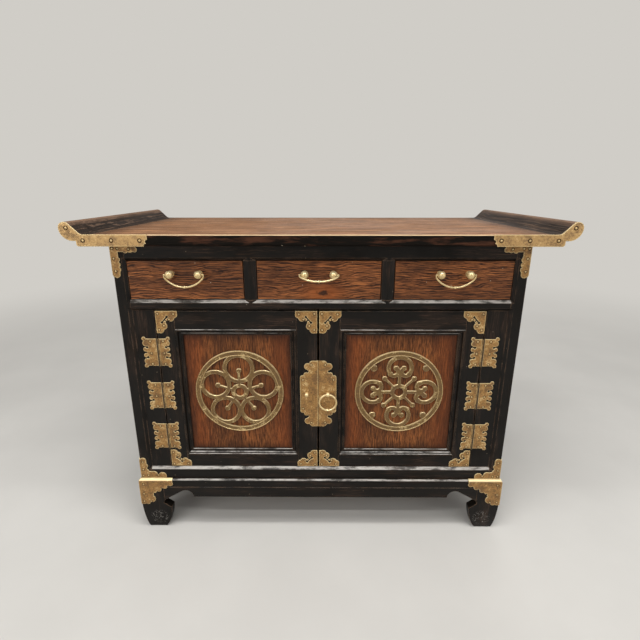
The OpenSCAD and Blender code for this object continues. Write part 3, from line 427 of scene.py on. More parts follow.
def wood_figure_group():
    """The figure of an open-grained board, whose vector runs along, across and into the wood."""
    g, given, out = new_group(
        "Wood figure", {"Line Spacing": 0.005, "Waviness": 0.006, "Length": 9.0, "Ripple": 0.08},
        "Lines", "Bands", "Pores", "Fibres", "Figure")
    grain = given["Vector"]
    spacing = given["Line Spacing"]
    # The lines wander slowly over the board and shake a little over short lengths
    slow = g.math("SUBTRACT", g.streaks(grain, (6.0, 14.0, 9.0), 2.0, 0.5), 0.5)
    quick = g.math("SUBTRACT", g.streaks(grain, (42.0, 60.0, 40.0), 2.0, 0.5), 0.5)
    shift = g.times(slow, g.times(given["Waviness"], 8.0))
    shift = g.math("ADD", shift, g.times(quick, given["Waviness"]))
    place = g.axes(grain)
    across = g.math("DIVIDE", g.math("ADD", place["Y"], shift), spacing)
    deep = g.math("DIVIDE", g.math("ADD", place["Z"], shift), spacing)
    along = g.math("DIVIDE", place["X"], g.times(spacing, given["Length"]))
    drawn = g.joined(along, across, deep)
    bend = g.noise(g.vector_math("MULTIPLY", drawn, (0.5, 0.3, 0.3)), 1.0, 2.0, 0.5)
    wave = g.math("SINE", g.times(g.times_plus(bend, 3.2, g.math("ADD", across, deep)), math.tau))
    lines = g.times_plus(wave, given["Ripple"], g.noise(drawn, 1.0, 3.0, 0.65))
    pores = g.noise(g.vector_math("MULTIPLY", drawn, (1.5, 2.6, 2.6)), 1.0, 2.0, 0.6)
    g.feed(out["Lines"], g.ramp(lines, 0.45, 0.36))
    g.feed(out["Bands"], g.ramp(lines, 0.52, 0.64))
    g.feed(out["Pores"], g.ramp(pores, 0.55, 0.65))
    g.feed(out["Fibres"], g.streaks(grain, (46.0, 760.0, 760.0), 3.0, 0.6))
    g.feed(out["Figure"], g.streaks(grain, (7.0, 30.0, 16.0), 4.0, 0.6))
    return g.tree


def stipple_group():
    """Small punched dots and uneven tarnish of old sheet brass."""
    g, given, out = new_group(
        "Stipple", {"Dot Scale": 420.0}, "Dots", "Tarnish", "Glints", "Height")
    cells = g.add("TexVoronoi", {"Vector": given["Vector"], "Scale": given["Dot Scale"]})
    dots = g.ramp(cells.outputs["Distance"], 0.42, 0.2)
    patches = g.noise(given["Vector"], 54.0, 5.0, 0.6)
    fine = g.noise(given["Vector"], 260.0, 3.0, 0.6)
    g.feed(out["Dots"], g.times(dots, g.ramp(fine, 0.4, 0.62)))
    g.feed(out["Tarnish"], g.ramp(g.times_plus(fine, 0.6, patches), 0.74, 0.98))
    g.feed(out["Glints"], g.ramp(g.times_plus(fine, 0.7, patches), 0.78, 0.62))
    g.feed(out["Height"], g.times_plus(dots, -0.5, fine))
    return g.tree


def dust_group():
    """Pale specks and thin dust of a surface that has stood for years."""
    g, given, out = new_group("Dust", {"Amount": 0.5}, "Specks", "Patches")
    cells = g.add("TexVoronoi", {"Vector": given["Vector"], "Scale": 130.0, "Randomness": 1.0})
    chosen = g.add("SeparateColor", {0: cells.outputs["Color"]}).outputs[0]
    speck = g.times(g.ramp(cells.outputs["Distance"], 0.16, 0.07), g.ramp(chosen, 0.955, 0.965))
    patchy = g.ramp(g.noise(given["Vector"], 9.0, 5.0, 0.6), 0.42, 0.72)
    g.feed(out["Specks"], g.times(speck, given["Amount"]))
    g.feed(out["Patches"], g.times(patchy, given["Amount"]))
    return g.tree


@cache
def groups():
    """The shared node groups, made once."""
    return {"wear": edge_wear_group(), "highlight_mask": highlight_mask_group(), "figure": wood_figure_group(),
            "stipple": stipple_group(), "dust": dust_group()}


class Finish(Graph):
    """A material with its graph and its Principled shader."""

    def __init__(self, name, specular=0.5):
        self.material = bpy.data.materials.new(name)
        self.material.use_nodes = True
        super().__init__(self.material.node_tree)
        self.shader = self.tree.nodes["Principled BSDF"]
        self.give("Specular IOR Level", specular)

    def give(self, name, value):
        """Links or sets a socket of the shader."""
        self.feed(self.shader.inputs[name], value)


# Wood

def grain_vector(g, order):
    """Object coordinates in the order along, across and into the board, such as XZY."""
    split = g.axes(g.coordinates())
    return g.joined(*(split[axis] for axis in order))


def relief(g, figure, fibres):
    """Height of a grained surface: its pores are sunk, and its fibres stand a little."""
    return g.times_plus(figure["Pores"], -1.0, g.times(figure["Fibres"], fibres))


@cache
def lacquer(order):
    """Black lacquer over open grain, rubbed brown along its edges, with a painted highlight and some dust on
    the bevels of level members.
    """
    wood = bpy.context.scene.cabinet_wood
    g = Finish("Worn_Lacquer_" + order, specular=0.05)
    vector = grain_vector(g, order)
    wear = g.use("wear", vector, {"Reach": wood.wear_reach, "Noise Scale": 34.0})
    figure = g.use("figure", vector, {"Line Spacing": 0.004, "Waviness": 0.002, "Length": 14.0})
    dust = g.use("dust", vector, {"Amount": 1.0})
    thin = g.times(g.ramp(figure["Figure"], 0.47, 0.68), g.ramp(figure["Bands"], 0.0, 1.0, 0.25, 1.0))
    colour = g.mix(thin, wood.lacquer, wood.lacquer_thin)
    colour = g.mix(g.times(figure["Pores"], 0.5), colour, LACQUER_PORES)
    colour = g.mix(g.times(wear["Wear"], 0.85), colour, wood.lacquer_worn)
    coat = g.ramp(dust["Patches"], 0.0, 1.0, 0.24, 0.12)
    if order[0] != "Z":
        # Painted highlight, with some dust, on up-facing bevels, broken up along the grain; the coat is made
        # stronger there too
        patchy = g.times(g.use("highlight_mask", vector)["Patches"], 0.9)
        colour = g.mix(patchy, colour, wood.pale_highlight_and_dust)
        coat = g.times_plus(patchy, 0.4, coat)
    g.give("Base Color", g.mix(g.times(dust["Specks"], 0.7), colour, LACQUER_SPECKS))
    g.give("Roughness", g.times_plus(dust["Patches"], 0.12, 0.34))
    g.give("Coat Weight", coat)
    g.give("Coat Roughness", 0.2)
    g.give("Normal", g.bump(relief(g, figure, 0.35), 0.00016, 0.5))
    return g.material


@cache
def carved_lacquer():
    """Lacquer of the legs, with thin pale curls on each hoof."""
    material = lacquer("ZXY").copy()
    material.name = "Carved_Lacquer"
    g = Graph(material.node_tree)
    base = material.node_tree.nodes["Principled BSDF"].inputs["Base Color"]
    ground = base.links[0].from_socket
    place = g.coordinates()
    split = g.axes(place)
    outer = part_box("leg_front_right")[1].x
    across = g.math("SUBTRACT", g.math("ABSOLUTE", split["X"]), outer - CARVING_FROM_SIDE)
    up = g.math("SUBTRACT", split["Z"], CARVING_HEIGHT)
    hills = g.noise(place, 42.0, 1.0, 0.4)
    line = g.ramp(g.math("SINE", g.times(hills, 70.0)), 0.72, 0.97)
    line = g.times(line, g.ramp(g.reach(g.joined(across, up)), CARVING_REACH, CARVING_REACH * 0.6))
    line = g.times(line, g.ramp(g.noise(place, 190.0, 3.0, 0.6), 0.42, 0.6))
    # The curls take the pale of the painted bevel highlight
    g.feed(base, g.mix(g.times(line, 0.55), ground, bpy.context.scene.cabinet_wood.pale_highlight_and_dust))
    return material


@cache
def flange_wood():
    """Dark brown of the everted ends, streaked where the lacquer has gone thin, pale on their crests."""
    g = Finish("Flange_Wood", specular=0.03)
    vector = grain_vector(g, "YXZ")
    figure = g.use("figure", vector, {"Line Spacing": 0.0038, "Waviness": 0.0016, "Length": 60.0})
    wear = g.use("wear", vector, {"Reach": 0.004, "Noise Scale": 26.0})
    streaks = g.times(figure["Bands"], g.ramp(figure["Figure"], 0.36, 0.6, 0.2, 1.0))
    colour = g.mix(g.times(streaks, 0.85), FLANGE_GROUND, FLANGE_STREAKS)
    colour = g.mix(g.times(figure["Pores"], 0.6), colour, FLANGE_PORES)
    facing = g.facing_up()
    high = g.axes(g.coordinates())["Z"]
    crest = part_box("top_end_left")[1].z
    rubbed = g.times(g.ramp(high, crest - CREST_START, crest - CREST_FULL), g.ramp(facing, 0.5, 0.9))
    rubbed = g.times(rubbed, g.ramp(figure["Figure"], 0.3, 0.55, 0.35, 0.8))
    colour = g.mix(rubbed, colour, FLANGE_CREST)
    underside = g.ramp(facing, 0.1, -0.2)
    colour = g.mix(underside, colour, bpy.context.scene.cabinet_wood.lacquer)
    g.give("Base Color", g.mix(g.times(wear["Rim"], 0.6), colour, FLANGE_RIM))
    g.give("Roughness", g.times_plus(figure["Pores"], 0.15, 0.6))
    g.give("Normal", g.bump(relief(g, figure, 0.35), 0.0003, 0.7))
    return g.material


def grained_wood(name, order, colours, specular, grain, lines, fibres=(0.62, 1.34)):
    """Open-grained wood: its finish, vector, figure and colour. grain holds the figure's values, lines is how
    strong its lines are, and fibres how dark and how light its threads."""
    g = Finish(name, specular)
    vector = grain_vector(g, order)
    figure = g.use("figure", vector, grain)
    dark, light, glow = colours
    colour = g.mix(g.ramp(figure["Figure"], 0.34, 0.62), g.mix(0.5, dark, light), light)
    bright = g.times(figure["Bands"], g.ramp(figure["Figure"], 0.4, 0.66, 0.25, 0.9))
    colour = g.mix(bright, colour, glow)
    colour = g.mix(g.times(figure["Lines"], lines), colour, dark)
    colour = g.shaded(colour, g.ramp(figure["Fibres"], 0.32, 0.68, *fibres))
    colour = g.mix(g.times(figure["Pores"], lines * 0.8), colour, WOOD_PORES)
    height = g.times_plus(figure["Lines"], -0.5, relief(g, figure, 0.4))
    g.give("Normal", g.bump(height, 0.0003, 0.8))
    return g, vector, figure, colour


@cache
def drawer_wood():
    """Reddish brown wood of the drawer fronts, its grain lying level, with a knot in the middle one."""
    wood = bpy.context.scene.cabinet_wood
    grain = {"Line Spacing": wood.drawer_lines, "Waviness": 0.0025, "Length": 13.0, "Ripple": 0.14}
    g, vector, figure, colour = grained_wood(
        "Drawer_Wood", "XZY", (wood.drawer_dark, wood.drawer_light, DRAWER_GLOW), 0.22, grain, 0.86)
    low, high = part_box("middle_drawer_front")
    knot = ((low.x + high.x) / 2 + KNOT_FROM_MIDDLE, low.z + KNOT_HEIGHT, low.y)
    away = g.vector_math("MULTIPLY", g.vector_math("SUBTRACT", vector, knot), KNOT_SHAPE)
    reach = g.times_plus(g.noise(vector, 120.0, 4.0, 0.6), 0.012, g.reach(away))
    colour = g.mix(g.times(g.ramp(reach, *KNOT_GLOW), 0.6), colour, KNOT_RED)
    colour = g.mix(g.times(g.ramp(reach, *KNOT_HEART), 0.85), colour, KNOT_BLACK)
    wear = g.use("wear", vector, {"Reach": 0.002, "Noise Scale": 60.0})
    colour = g.mix(g.times(wear["Wear"], 0.4), colour, DRAWER_WORN)
    dust = g.use("dust", vector, {"Amount": 0.8})
    g.give("Base Color", g.mix(dust["Specks"], colour, DRAWER_SPECKS))
    rough = g.times_plus(figure["Pores"], 0.25, 0.44)
    g.give("Roughness", g.times_plus(dust["Patches"], 0.1, rough))
    return g.material


@cache
def panel_wood(side):
    """Door panel with fine upright grain, warmer towards its two sides and darker at its edges."""
    wood = bpy.context.scene.cabinet_wood
    grain = {"Line Spacing": wood.panel_lines, "Waviness": 0.0012, "Length": 9.0, "Ripple": 0.06}
    g, vector, figure, colour = grained_wood(
        "Panel_Wood_" + side, "ZXY", (wood.panel_dark, wood.panel_light, PANEL_GLOW), 0.2, grain, 0.75)
    low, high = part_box(side + "_door_moulding")
    middle = (low + high) / 2
    half = (high - low) / 2
    place = g.axes(g.vector_math("SUBTRACT", vector, (middle.z, middle.x, 0)))
    wobble = g.times(g.noise(vector, 22.0, 4.0, 0.6), 0.02)
    from_side = g.math("SUBTRACT", half.x, g.math("ABSOLUTE", place["Y"]))
    from_end = g.math("SUBTRACT", half.z, g.math("ABSOLUTE", place["X"]))
    warm = g.ramp(g.math("ADD", from_side, g.times(wobble, 1.5)), *PANEL_WARM)
    warmed = g.mix(0.6, PANEL_RED, colour, "OVERLAY")
    colour = g.mix(g.times(warm, 0.62), colour, warmed)
    inside = g.math("ADD", g.math("MINIMUM", from_side, from_end), wobble)
    shade = g.ramp(inside, *PANEL_SHADE, 0.86, 0.0)
    g.give("Base Color", g.mix(shade, colour, PANEL_BROWN))
    g.give("Roughness", g.times_plus(figure["Pores"], 0.25, 0.46))
    return g.material


@cache
def top_wood():
    """Worn top with grain along its length, dark at its ends and back, where the lacquer has stayed."""
    wood = bpy.context.scene.cabinet_wood
    grain = {"Line Spacing": wood.top_lines, "Waviness": 0.0022, "Length": 26.0}
    g, vector, figure, colour = grained_wood(
        "Top_Wood", "XYZ", (wood.top_dark, wood.top_light, TOP_GLOW), 0.03, grain, 0.66, fibres=(0.6, 1.4))
    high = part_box("top_panel")[1]
    split = g.axes(vector)
    wobble = g.times(g.streaks(vector, (6, 20, 20), 5.0, 0.65), 0.09)
    from_end = g.math("SUBTRACT", high.x, g.math("ABSOLUTE", split["X"]))
    from_back = g.math("SUBTRACT", high.y, split["Y"])
    ends = g.ramp(g.math("ADD", from_end, wobble), *TOP_ENDS, 0.55, 0.0)
    back = g.ramp(g.math("ADD", from_back, wobble), *TOP_BACK, 0.5, 0.0)
    colour = g.mix(g.math("MAXIMUM", ends, back), colour, TOP_BROWN)
    facing = g.facing_up()
    stain = g.ramp(g.streaks(vector, (9, 60, 60), 5.0, 0.65), 0.46, 0.62)
    front = g.mix(g.times(stain, 0.7), wood.lacquer, TOP_FRONT)
    colour = g.mix(g.ramp(facing, 0.75, 0.35), colour, front)
    grey = g.ramp(g.streaks(vector, (5, 50, 50), 5.0, 0.7), 0.5, 0.66, 0.0, 0.5)
    colour = g.mix(g.times(grey, g.ramp(facing, 0.8, 0.95)), colour, TOP_GREY)
    # Painted highlight along the front arris
    arris_highlight = g.use("highlight_mask", vector, {"Low": 0.2, "High": 0.45})["Lit"]
    colour = g.mix(g.times(arris_highlight, 0.85), colour, TOP_ARRIS_HIGHLIGHT)
    dust = g.use("dust", vector, {"Amount": 1.0})
    g.give("Base Color", g.mix(dust["Specks"], colour, TOP_SPECKS))
    rough = g.times_plus(figure["Pores"], 0.2, 0.55)
    g.give("Roughness", g.times_plus(dust["Patches"], 0.12, rough))
    return g.material


@cache
def bare_wood(order):
    """Plain unfinished wood of the inside, the back and the drawer boxes."""
    wood = bpy.context.scene.cabinet_wood
    grain = {"Line Spacing": 0.007, "Waviness": 0.0015, "Length": 40.0}
    g, vector, figure, colour = grained_wood(
        "Bare_Wood_" + order, order, (wood.bare_dark, wood.bare_light, BARE_GLOW), 0.2, grain, 0.24,
        fibres=(0.86, 1.12))
    stain = g.ramp(g.noise(vector, 2.5, 3.0, 0.5), 0.48, 0.75, 0.0, 0.28)
    g.give("Base Color", g.mix(stain, colour, BARE_STAIN))
    g.give("Roughness", g.times_plus(figure["Pores"], 0.1, 0.68))
    return g.material


# Brass

def barrel_shade_mask(g, x):
    """A mask along the middle of each hinge, for a dark line of painted shade at the barrel."""
    low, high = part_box("hinge_pins")
    pin = (high.y - low.y) / 2
    left = g.math("ABSOLUTE", g.math("SUBTRACT", x, low.x + pin))
    right = g.math("ABSOLUTE", g.math("SUBTRACT", x, high.x - pin))
    return g.ramp(g.math("MINIMUM", left, right), *BARREL_LINE)


def brass_finish(name, dots, reach, tarnish, metal, rough, rim, olive=0.0, polish_and_painted_light=0.0, line=None):
    """Old brass: stippled and tarnished in its hollows, rubbed bright on its rims, with a painted highlight
    where it faces up.
    """
    brass = bpy.context.scene.cabinet_brass
    g = Finish(name)
    vector = g.coordinates()
    x = g.axes(vector)["X"]
    stipple = g.use("stipple", vector, {"Dot Scale": dots})
    wear = g.use("wear", vector, {"Reach": reach, "Noise Scale": 90.0})
    # Brighter brass from glints and polish, and on the straps from painted light
    bright = g.math("MAXIMUM", g.times(stipple["Glints"], 0.6), polish_and_painted_light)
    colour = g.mix(bright, g.mix(olive, brass.aged, brass.olive), brass.rubbed)
    colour = g.mix(g.times(stipple["Tarnish"], tarnish), colour, brass.tarnish)
    colour = g.mix(g.times(stipple["Dots"], tarnish * 0.7), colour, brass.tarnish)
    colour = g.mix(g.times(wear["Groove"], tarnish * 0.8), colour, brass.tarnish)
    worn = g.times(wear["Rim"], rim)
    if line == "seam":
        worn = g.times(worn, g.ramp(g.math("ABSOLUTE", x), *LOCK_SEAM))
    colour = g.mix(worn, colour, brass.rubbed)
    # Painted highlight where the brass faces up
    lit = g.use("highlight_mask", vector, {"Low": 0.3, "High": 0.6})["Lit"]
    colour = g.mix(g.times(lit, rim), colour, BRASS_HIGHLIGHT)
    # Dark line of painted shade along each hinge's barrel
    if line == "barrel":
        colour = g.mix(g.times(barrel_shade_mask(g, x), 0.9), colour, PAINTED_BARREL_SHADE)
    g.give("Base Color", colour)
    g.give("Metallic", g.ramp(stipple["Tarnish"], 0.0, 1.0, *metal))
    g.give("Roughness", g.ramp(stipple["Tarnish"], 0.0, 1.0, *rough))
    g.give("Normal", g.bump(stipple["Height"], 0.0002, 0.55))
    return g.material


@cache
def brass_of(name):
    """The brass of one kind of mount, with the values of its finish."""
    return brass_finish(name, **BRASSES[name])


@cache
def nail_shade():
    """Dark ring round a nail's head: painted shade of the hollow it sits in, with tarnish."""
    g = Finish("Nail_Shade", specular=0.1)
    mottle = g.ramp(g.noise(g.coordinates(), 600.0, 3.0, 0.6), 0.35, 0.65)
    g.give("Base Color", g.mix(mottle, NAIL_SHADE_AND_DIRT, bpy.context.scene.cabinet_brass.tarnish))
    g.give("Roughness", 0.7)
    return g.material


# Pieces

def islands(bm):
    """The separate solids of a mesh, each as its list of faces."""
    seen = set()
    found = []
    for face in bm.faces:
        if face in seen:
            continue
        group = [face]
        seen.add(face)
        for member in group:
            for edge in member.edges:
                for other in edge.link_faces:
                    if other not in seen:
                        seen.add(other)
                        group.append(other)
        found.append(group)
    return found


def span(faces):
    """The lowest and the highest corner of some faces."""
    points = [vert.co for face in faces for vert in face.verts]
    low = Vector([min(point[i] for point in points) for i in range(3)])
    high = Vector([max(point[i] for point in points) for i in range(3)])
    return low, high


def body_of(node):
    return frame["nodes"][node]["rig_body"]


def merged_copy(node):
    """A node's mesh with its seams closed and its flat faces joined."""
    bm = bmesh.new()
    bm.from_mesh(frame["nodes"][node].data)
    bmesh.ops.remove_doubles(bm, verts=bm.verts, dist=MERGE_DISTANCE)
    bmesh.ops.dissolve_limit(bm, angle_limit=FLAT_ANGLE, verts=bm.verts, edges=bm.edges, delimit={"NORMAL"})
    return bm


def outer_edge(edge):
    """Says whether an edge stands out and is sharp."""
    return len(edge.link_faces) == 2 and edge.is_convex and edge.calc_face_angle() > SHARP_ANGLE


def runs_along(edge, axis):
    """Says whether an edge runs along an axis."""
    line = edge.verts[1].co - edge.verts[0].co
    return abs(line[axis]) > MOSTLY * line.length


def faces_front(face):
    return face.normal.y < -MOSTLY


def at_seam(edge):
    """Says whether an edge lies along the middle, where plates of the two doors meet."""
    return all(abs(vert.co.x) < SEAM_REACH for vert in edge.verts)


def at_narrow_tips(bm, edges):
    """The edges that run into a narrow tip of a gap, where a rounded edge would fold over itself."""
    found = set()
    for vert in bm.verts:
        own = [edge for edge in vert.link_edges if edge in edges]
        if len(own) == 2:
            one, other = (edge.other_vert(vert).co - vert.co for edge in own)
            if one.angle(other) < NARROW_TIP:
                found.update(own)
    return found


def in_scene(name, data, place=(0, 0, 0), turn=(0, 0, 0)):
    """A new object in the scene."""
    thing = bpy.data.objects.new(name, data)
    thing.location = place
    thing.rotation_euler = turn
    bpy.context.scene.collection.objects.link(thing)
    return thing


def meshed(bm, name, materials):
    """Turns a mesh in the making into an object at the origin."""
    mesh = bpy.data.meshes.new(name)
    bm.to_mesh(mesh)
    bm.free()
    for material in materials:
        mesh.materials.append(material)
    return in_scene(name, mesh)


def new_piece(bm, name, body, materials):
    """Turns a mesh in the making into a piece, shaded by angle and riding its body."""
    for edge in bm.edges:
        edge.smooth = len(edge.link_faces) == 2 and edge.calc_face_angle() < SHARP_ANGLE
    for face in bm.faces:
        face.smooth = True
    piece = meshed(bm, name, materials)
    weighted = piece.modifiers.new("Weighted normals", "WEIGHTED_NORMAL")
    weighted.keep_sharp = True
    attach(piece, body)
    return piece


def finish_of(node, bm, materials):
    """The piece that stands for a node."""
    piece = new_piece(bm, node + ".finish", body_of(node), materials)
    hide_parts(node)
    return piece


def round_off(bm, edges, width, segments, **more):
    bmesh.ops.bevel(bm, geom=edges, offset=width, offset_type="OFFSET", segments=segments, profile=0.5,
                    affect="EDGES", clamp_overlap=False, material=-1, **more)


def wooden(node, finish, width=None, members=False):
    """A wooden node with worn edges. finish is a material, or gives one from the axis along which a solid is
    longest. With members, only the edges along that axis are worn."""
    width = bpy.context.scene.cabinet_wood.edge if width is None else width
    bm = merged_copy(node)
    materials = []
    edges = []
    for faces in islands(bm):
        low, high = span(faces)
        size = high - low
        axis = max(range(3), key=lambda i: size[i])
        material = finish(AXES[axis]) if callable(finish) else finish
        if material not in materials:
            materials.append(material)
        for face in faces:
            face.material_index = materials.index(material)
        own = dict.fromkeys(edge for face in faces for edge in face.edges)
        edges += [e for e in own if outer_edge(e) and (not members or runs_along(e, axis))]
    if width:
        round_off(bm, edges, width, EDGE_STEPS)
    return finish_of(node, bm, materials)


def black(axis):
    return lacquer(LACQUER_ORDER[axis])


def plain(axis):
    return bare_wood(BARE_ORDER[axis])


def dressed(node, material):
    """Gives a CAD node that keeps its own mesh a material."""
    for place in frame["nodes"][node].material_slots:
        place.link = "OBJECT"
        place.material = material


def plate(node, brass, width, segments=EDGE_STEPS):
    """A brass node whose front edges are filed round, save at the seam and at narrow tips."""
    bm = merged_copy(node)
    filed = {edge for edge in bm.edges
             if outer_edge(edge) and any(faces_front(face) for face in edge.link_faces) and not at_seam(edge)}
    filed -= at_narrow_tips(bm, filed)
    round_off(bm, [edge for edge in bm.edges if edge in filed], width, segments, loop_slide=False)
    return finish_of(node, bm, [brass_of(brass)])


def turned(node):
    """A round brass node that hands keep bright."""
    return finish_of(node, merged_copy(node), [brass_of("Handled_Brass")])


def domes(bm, points, radius, rise, material):
    """Low round heads at points on the front of a plate."""
    sides = bpy.context.scene.cabinet_brass.nail_sides
    flat = Matrix.Diagonal((1, rise / radius, 1, 1))
    for point in points:
        place = Matrix.Translation(point) @ flat
        made = bmesh.ops.create_uvsphere(
            bm, u_segments=sides, v_segments=sides // 2, radius=radius, matrix=place)
        for face in {face for vert in made["verts"] for face in vert.link_faces}:
            face.material_index = material


def nailed(node, name, shares, corner=lambda low, high: (False, False)):
    """Nails, each in a dark ring of painted shade and tarnish, on each solid of a plate node, wherever a
    point meets the front of its plate.
    corner says whether a solid's shares count from its right and from its top."""
    brass = bpy.context.scene.cabinet_brass
    plates = merged_copy(node)
    tree = BVHTree.FromBMesh(plates)
    points = []
    for faces in islands(plates):
        low, high = span(faces)
        from_right, from_top = corner(low, high)
        for u, w in shares:
            x = low.x + (high.x - low.x) * (1 - u if from_right else u)
            z = low.z + (high.z - low.z) * (1 - w if from_top else w)
            place, normal = tree.ray_cast(Vector((x, -1, z)), Vector((0, 1, 0)))[:2]
            if place and normal.y < -MOSTLY:
                points.append(place)
    plates.free()
    bm = bmesh.new()
    # Dark rings of painted shade and tarnish round the heads
    domes(bm, points, brass.nail_radius * NAIL_HOLLOW, NAIL_HOLLOW_RISE, 1)
    domes(bm, points, brass.nail_radius, brass.nail_rise, 0)
    return new_piece(bm, name, body_of(node), [brass_of("Nail_Brass"), nail_shade()])


def strap_nails(piece):
    """Gives the nails that stand out of the straps their own brass, and lays a dark ring of painted shade and
    tarnish round each.
    """
    bm = merged_copy("top_straps")
    level = max((f for f in bm.faces if faces_front(f)), key=lambda f: f.calc_area()).calc_center_median().y
    piece.data.materials.append(brass_of("Nail_Brass"))
    for polygon in piece.data.polygons:
        if polygon.center.y < level - NAIL_STANDS:
            polygon.material_index = 1
    flat = [f for f in bm.faces if f.calc_center_median().y >= level - NAIL_STANDS]
    bmesh.ops.delete(bm, geom=flat, context="FACES")
    points = []
    for faces in islands(bm):
        low, high = span(faces)
        points.append(Vector(((low.x + high.x) / 2, level, (low.z + high.z) / 2)))
    bm.free()
    bm = bmesh.new()
    domes(bm, points, STRAP_RING, NAIL_HOLLOW_RISE, 0)
    return new_piece(bm, "strap_nail_rings", body_of("top_straps"), [nail_shade()])


def ring_rims(side):
    """Two raised rims with a groove between them, round a medallion's band."""
    node = side + "_medallion"
    low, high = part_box(node)
    middle = (low + high) / 2
    radius = (high.x - low.x) / 2
    bm = bmesh.new()
    for inset, wire in MEDALLION_RIMS:
        place = Matrix.Translation((middle.x + radius - inset, low.y + RIM_SINK, middle.z))
        made = bmesh.ops.create_circle(bm, segments=RIM_SIDES, radius=wire, matrix=place)
        edges = list(dict.fromkeys(edge for vert in made["verts"] for edge in vert.link_edges))
        bmesh.ops.spin(bm, geom=edges, cent=(middle.x, low.y, middle.z), axis=(0, 1, 0), angle=math.tau,
                       steps=RIM_STEPS, use_merge=True)
    bmesh.ops.remove_doubles(bm, verts=bm.verts, dist=MERGE_DISTANCE)
    bmesh.ops.recalc_face_normals(bm, faces=bm.faces)
    return new_piece(bm, side + "_medallion_rims", body_of(node), [brass_of("Rim_Brass")])


class CabinetOperator(bpy.types.Operator):
    """What the operators share."""
    bl_options = {"REGISTER", "UNDO"}


class CABINET_OT_top(CabinetOperator):
    """Dress the top board and its two everted end boards"""
    bl_idname = "cabinet.top"
    bl_label = "Top"

    def execute(self, context):
        wooden("top_panel", top_wood(), width=TOP_ARRIS, members=True)
        for side in SIDES:
            wooden("top_end_" + side, flange_wood(), members=True)
        return {"FINISHED"}


class CABINET_OT_case(CabinetOperator):
    """Dress the posts, rails, dividers and fixed stiles of the case"""
    bl_idname = "cabinet.case"
    bl_label = "Case Frame"

    def execute(self, context):
        for node in ("top_rail", "middle_rail", "bottom_rail", "divider_left", "divider_right",
                     "hinge_stiles", "front_post_left", "rear_post_left", "front_post_right",
                     "rear_post_right"):
            wooden(node, black, members=True)
        return {"FINISHED"}


class CABINET_OT_sides(CabinetOperator):
    """Dress the panelled sides and the back"""
    bl_idname = "cabinet.sides"
    bl_label = "Sides and Back"

    def execute(self, context):
        for side in SIDES:
            wooden("side_" + side, black, members=True)
        wooden("case_back", plain, members=True)
        return {"FINISHED"}


class CABINET_OT_inside(CabinetOperator):
    """Give the boards inside the case their bare wood"""
    bl_idname = "cabinet.inside"
    bl_label = "Inside"

    def execute(self, context):
        for node in ("floor_board", "dust_board"):
            dressed(node, plain("X"))
        dressed("drawer_guides", plain("Y"))
        return {"FINISHED"}


class CABINET_OT_stand(CabinetOperator):
    """Dress the stand: frame, aprons and hoof-footed legs"""
    bl_idname = "cabinet.stand"
    bl_label = "Stand"

    def execute(self, context):
        wooden("stand_frame", black, members=True)
        for node in ("apron_front", "apron_back", "side_aprons"):
            wooden(node, black)
        for end in ("front", "rear"):
            for side in SIDES:
                wooden(f"leg_{end}_{side}", carved_lacquer())
        return {"FINISHED"}


class CABINET_OT_doors(CabinetOperator):
    """Dress the door frames, their mouldings and panels"""
    bl_idname = "cabinet.doors"
    bl_label = "Doors"

    def execute(self, context):
        for side in SIDES:
            wooden(side + "_door_frame", black, members=True)
            wooden(side + "_door_moulding", black, width=0.0)
            wooden(side + "_door_panel", panel_wood(side), width=0.0)
        return {"FINISHED"}


class CABINET_OT_drawers(CabinetOperator):
    """Dress the drawer fronts and their boxes"""
    bl_idname = "cabinet.drawers"
    bl_label = "Drawers"

    def execute(self, context):
        for name in DRAWERS:
            wooden(name + "_drawer_front", drawer_wood())
            dressed(name + "_drawer_box", plain("Y"))
        return {"FINISHED"}


class CABINET_OT_plates(CabinetOperator):
    """Dress the straps, corner plates, hinges and the lock plate, and nail them"""
    bl_idname = "cabinet.plates"
    bl_label = "Plates"

    def execute(self, context):
        width = context.scene.cabinet_brass.plate_edge
        straps = plate("top_straps", "Strap_Brass", width)
        plate("corner_brasses", "Plate_Brass", width)
        plate("case_hinge_leaves", "Hinge_Brass", width)
        for side in SIDES:
            plate(side + "_hinge_leaves", "Hinge_Brass", width)
            plate(side + "_door_corners", "Plate_Brass", width)
            plate(side + "_lock_plate", "Lock_Brass", width)
        dressed("hinge_pins", brass_of("Hinge_Brass"))
        strap_nails(straps)
        for node in ("case_hinge_leaves", "left_hinge_leaves", "right_hinge_leaves"):
            nailed(node, node + "_nails", LEAF_NAILS)
        for side in SIDES:
            low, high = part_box(side + "_door_corners")
            middle = (low + high) / 2
            nailed(side + "_door_corners", side + "_door_corner_nails", CORNER_NAILS,
                   lambda low, high: (high.x > middle.x + PLATE_MARGIN, high.z > middle.z))
            nailed(side + "_lock_plate", side + "_lock_nails", LOCK_NAILS,
                   lambda low, high: (side == "right", False))
        nailed("corner_brasses", "corner_nails", CASE_CORNER_NAILS,
               lambda low, high: (low.x > 0, high.z > CAD_BOX[1][2] / 2))
        return {"FINISHED"}


class CABINET_OT_medallions(CabinetOperator):
    """Dress the round medallions of the doors"""
    bl_idname = "cabinet.medallions"
    bl_label = "Medallions"

    def execute(self, context):
        width = context.scene.cabinet_brass.medallion_edge
        for side in SIDES:
            plate(side + "_medallion", "Medallion_Brass", width, MEDALLION_STEPS)
            ring_rims(side)
        return {"FINISHED"}


class CABINET_OT_pulls(CabinetOperator):
    """Dress the ball posts, the bails, the eyes and the ring"""
    bl_idname = "cabinet.pulls"
    bl_label = "Pulls"

    def execute(self, context):
        for name in DRAWERS:
            turned(name + "_pull_posts")
            turned(name + "_bail")
        for node in ("left_eye_post", "right_eye_post", "ring_pull"):
            turned(node)
        return {"FINISHED"}


# Stage

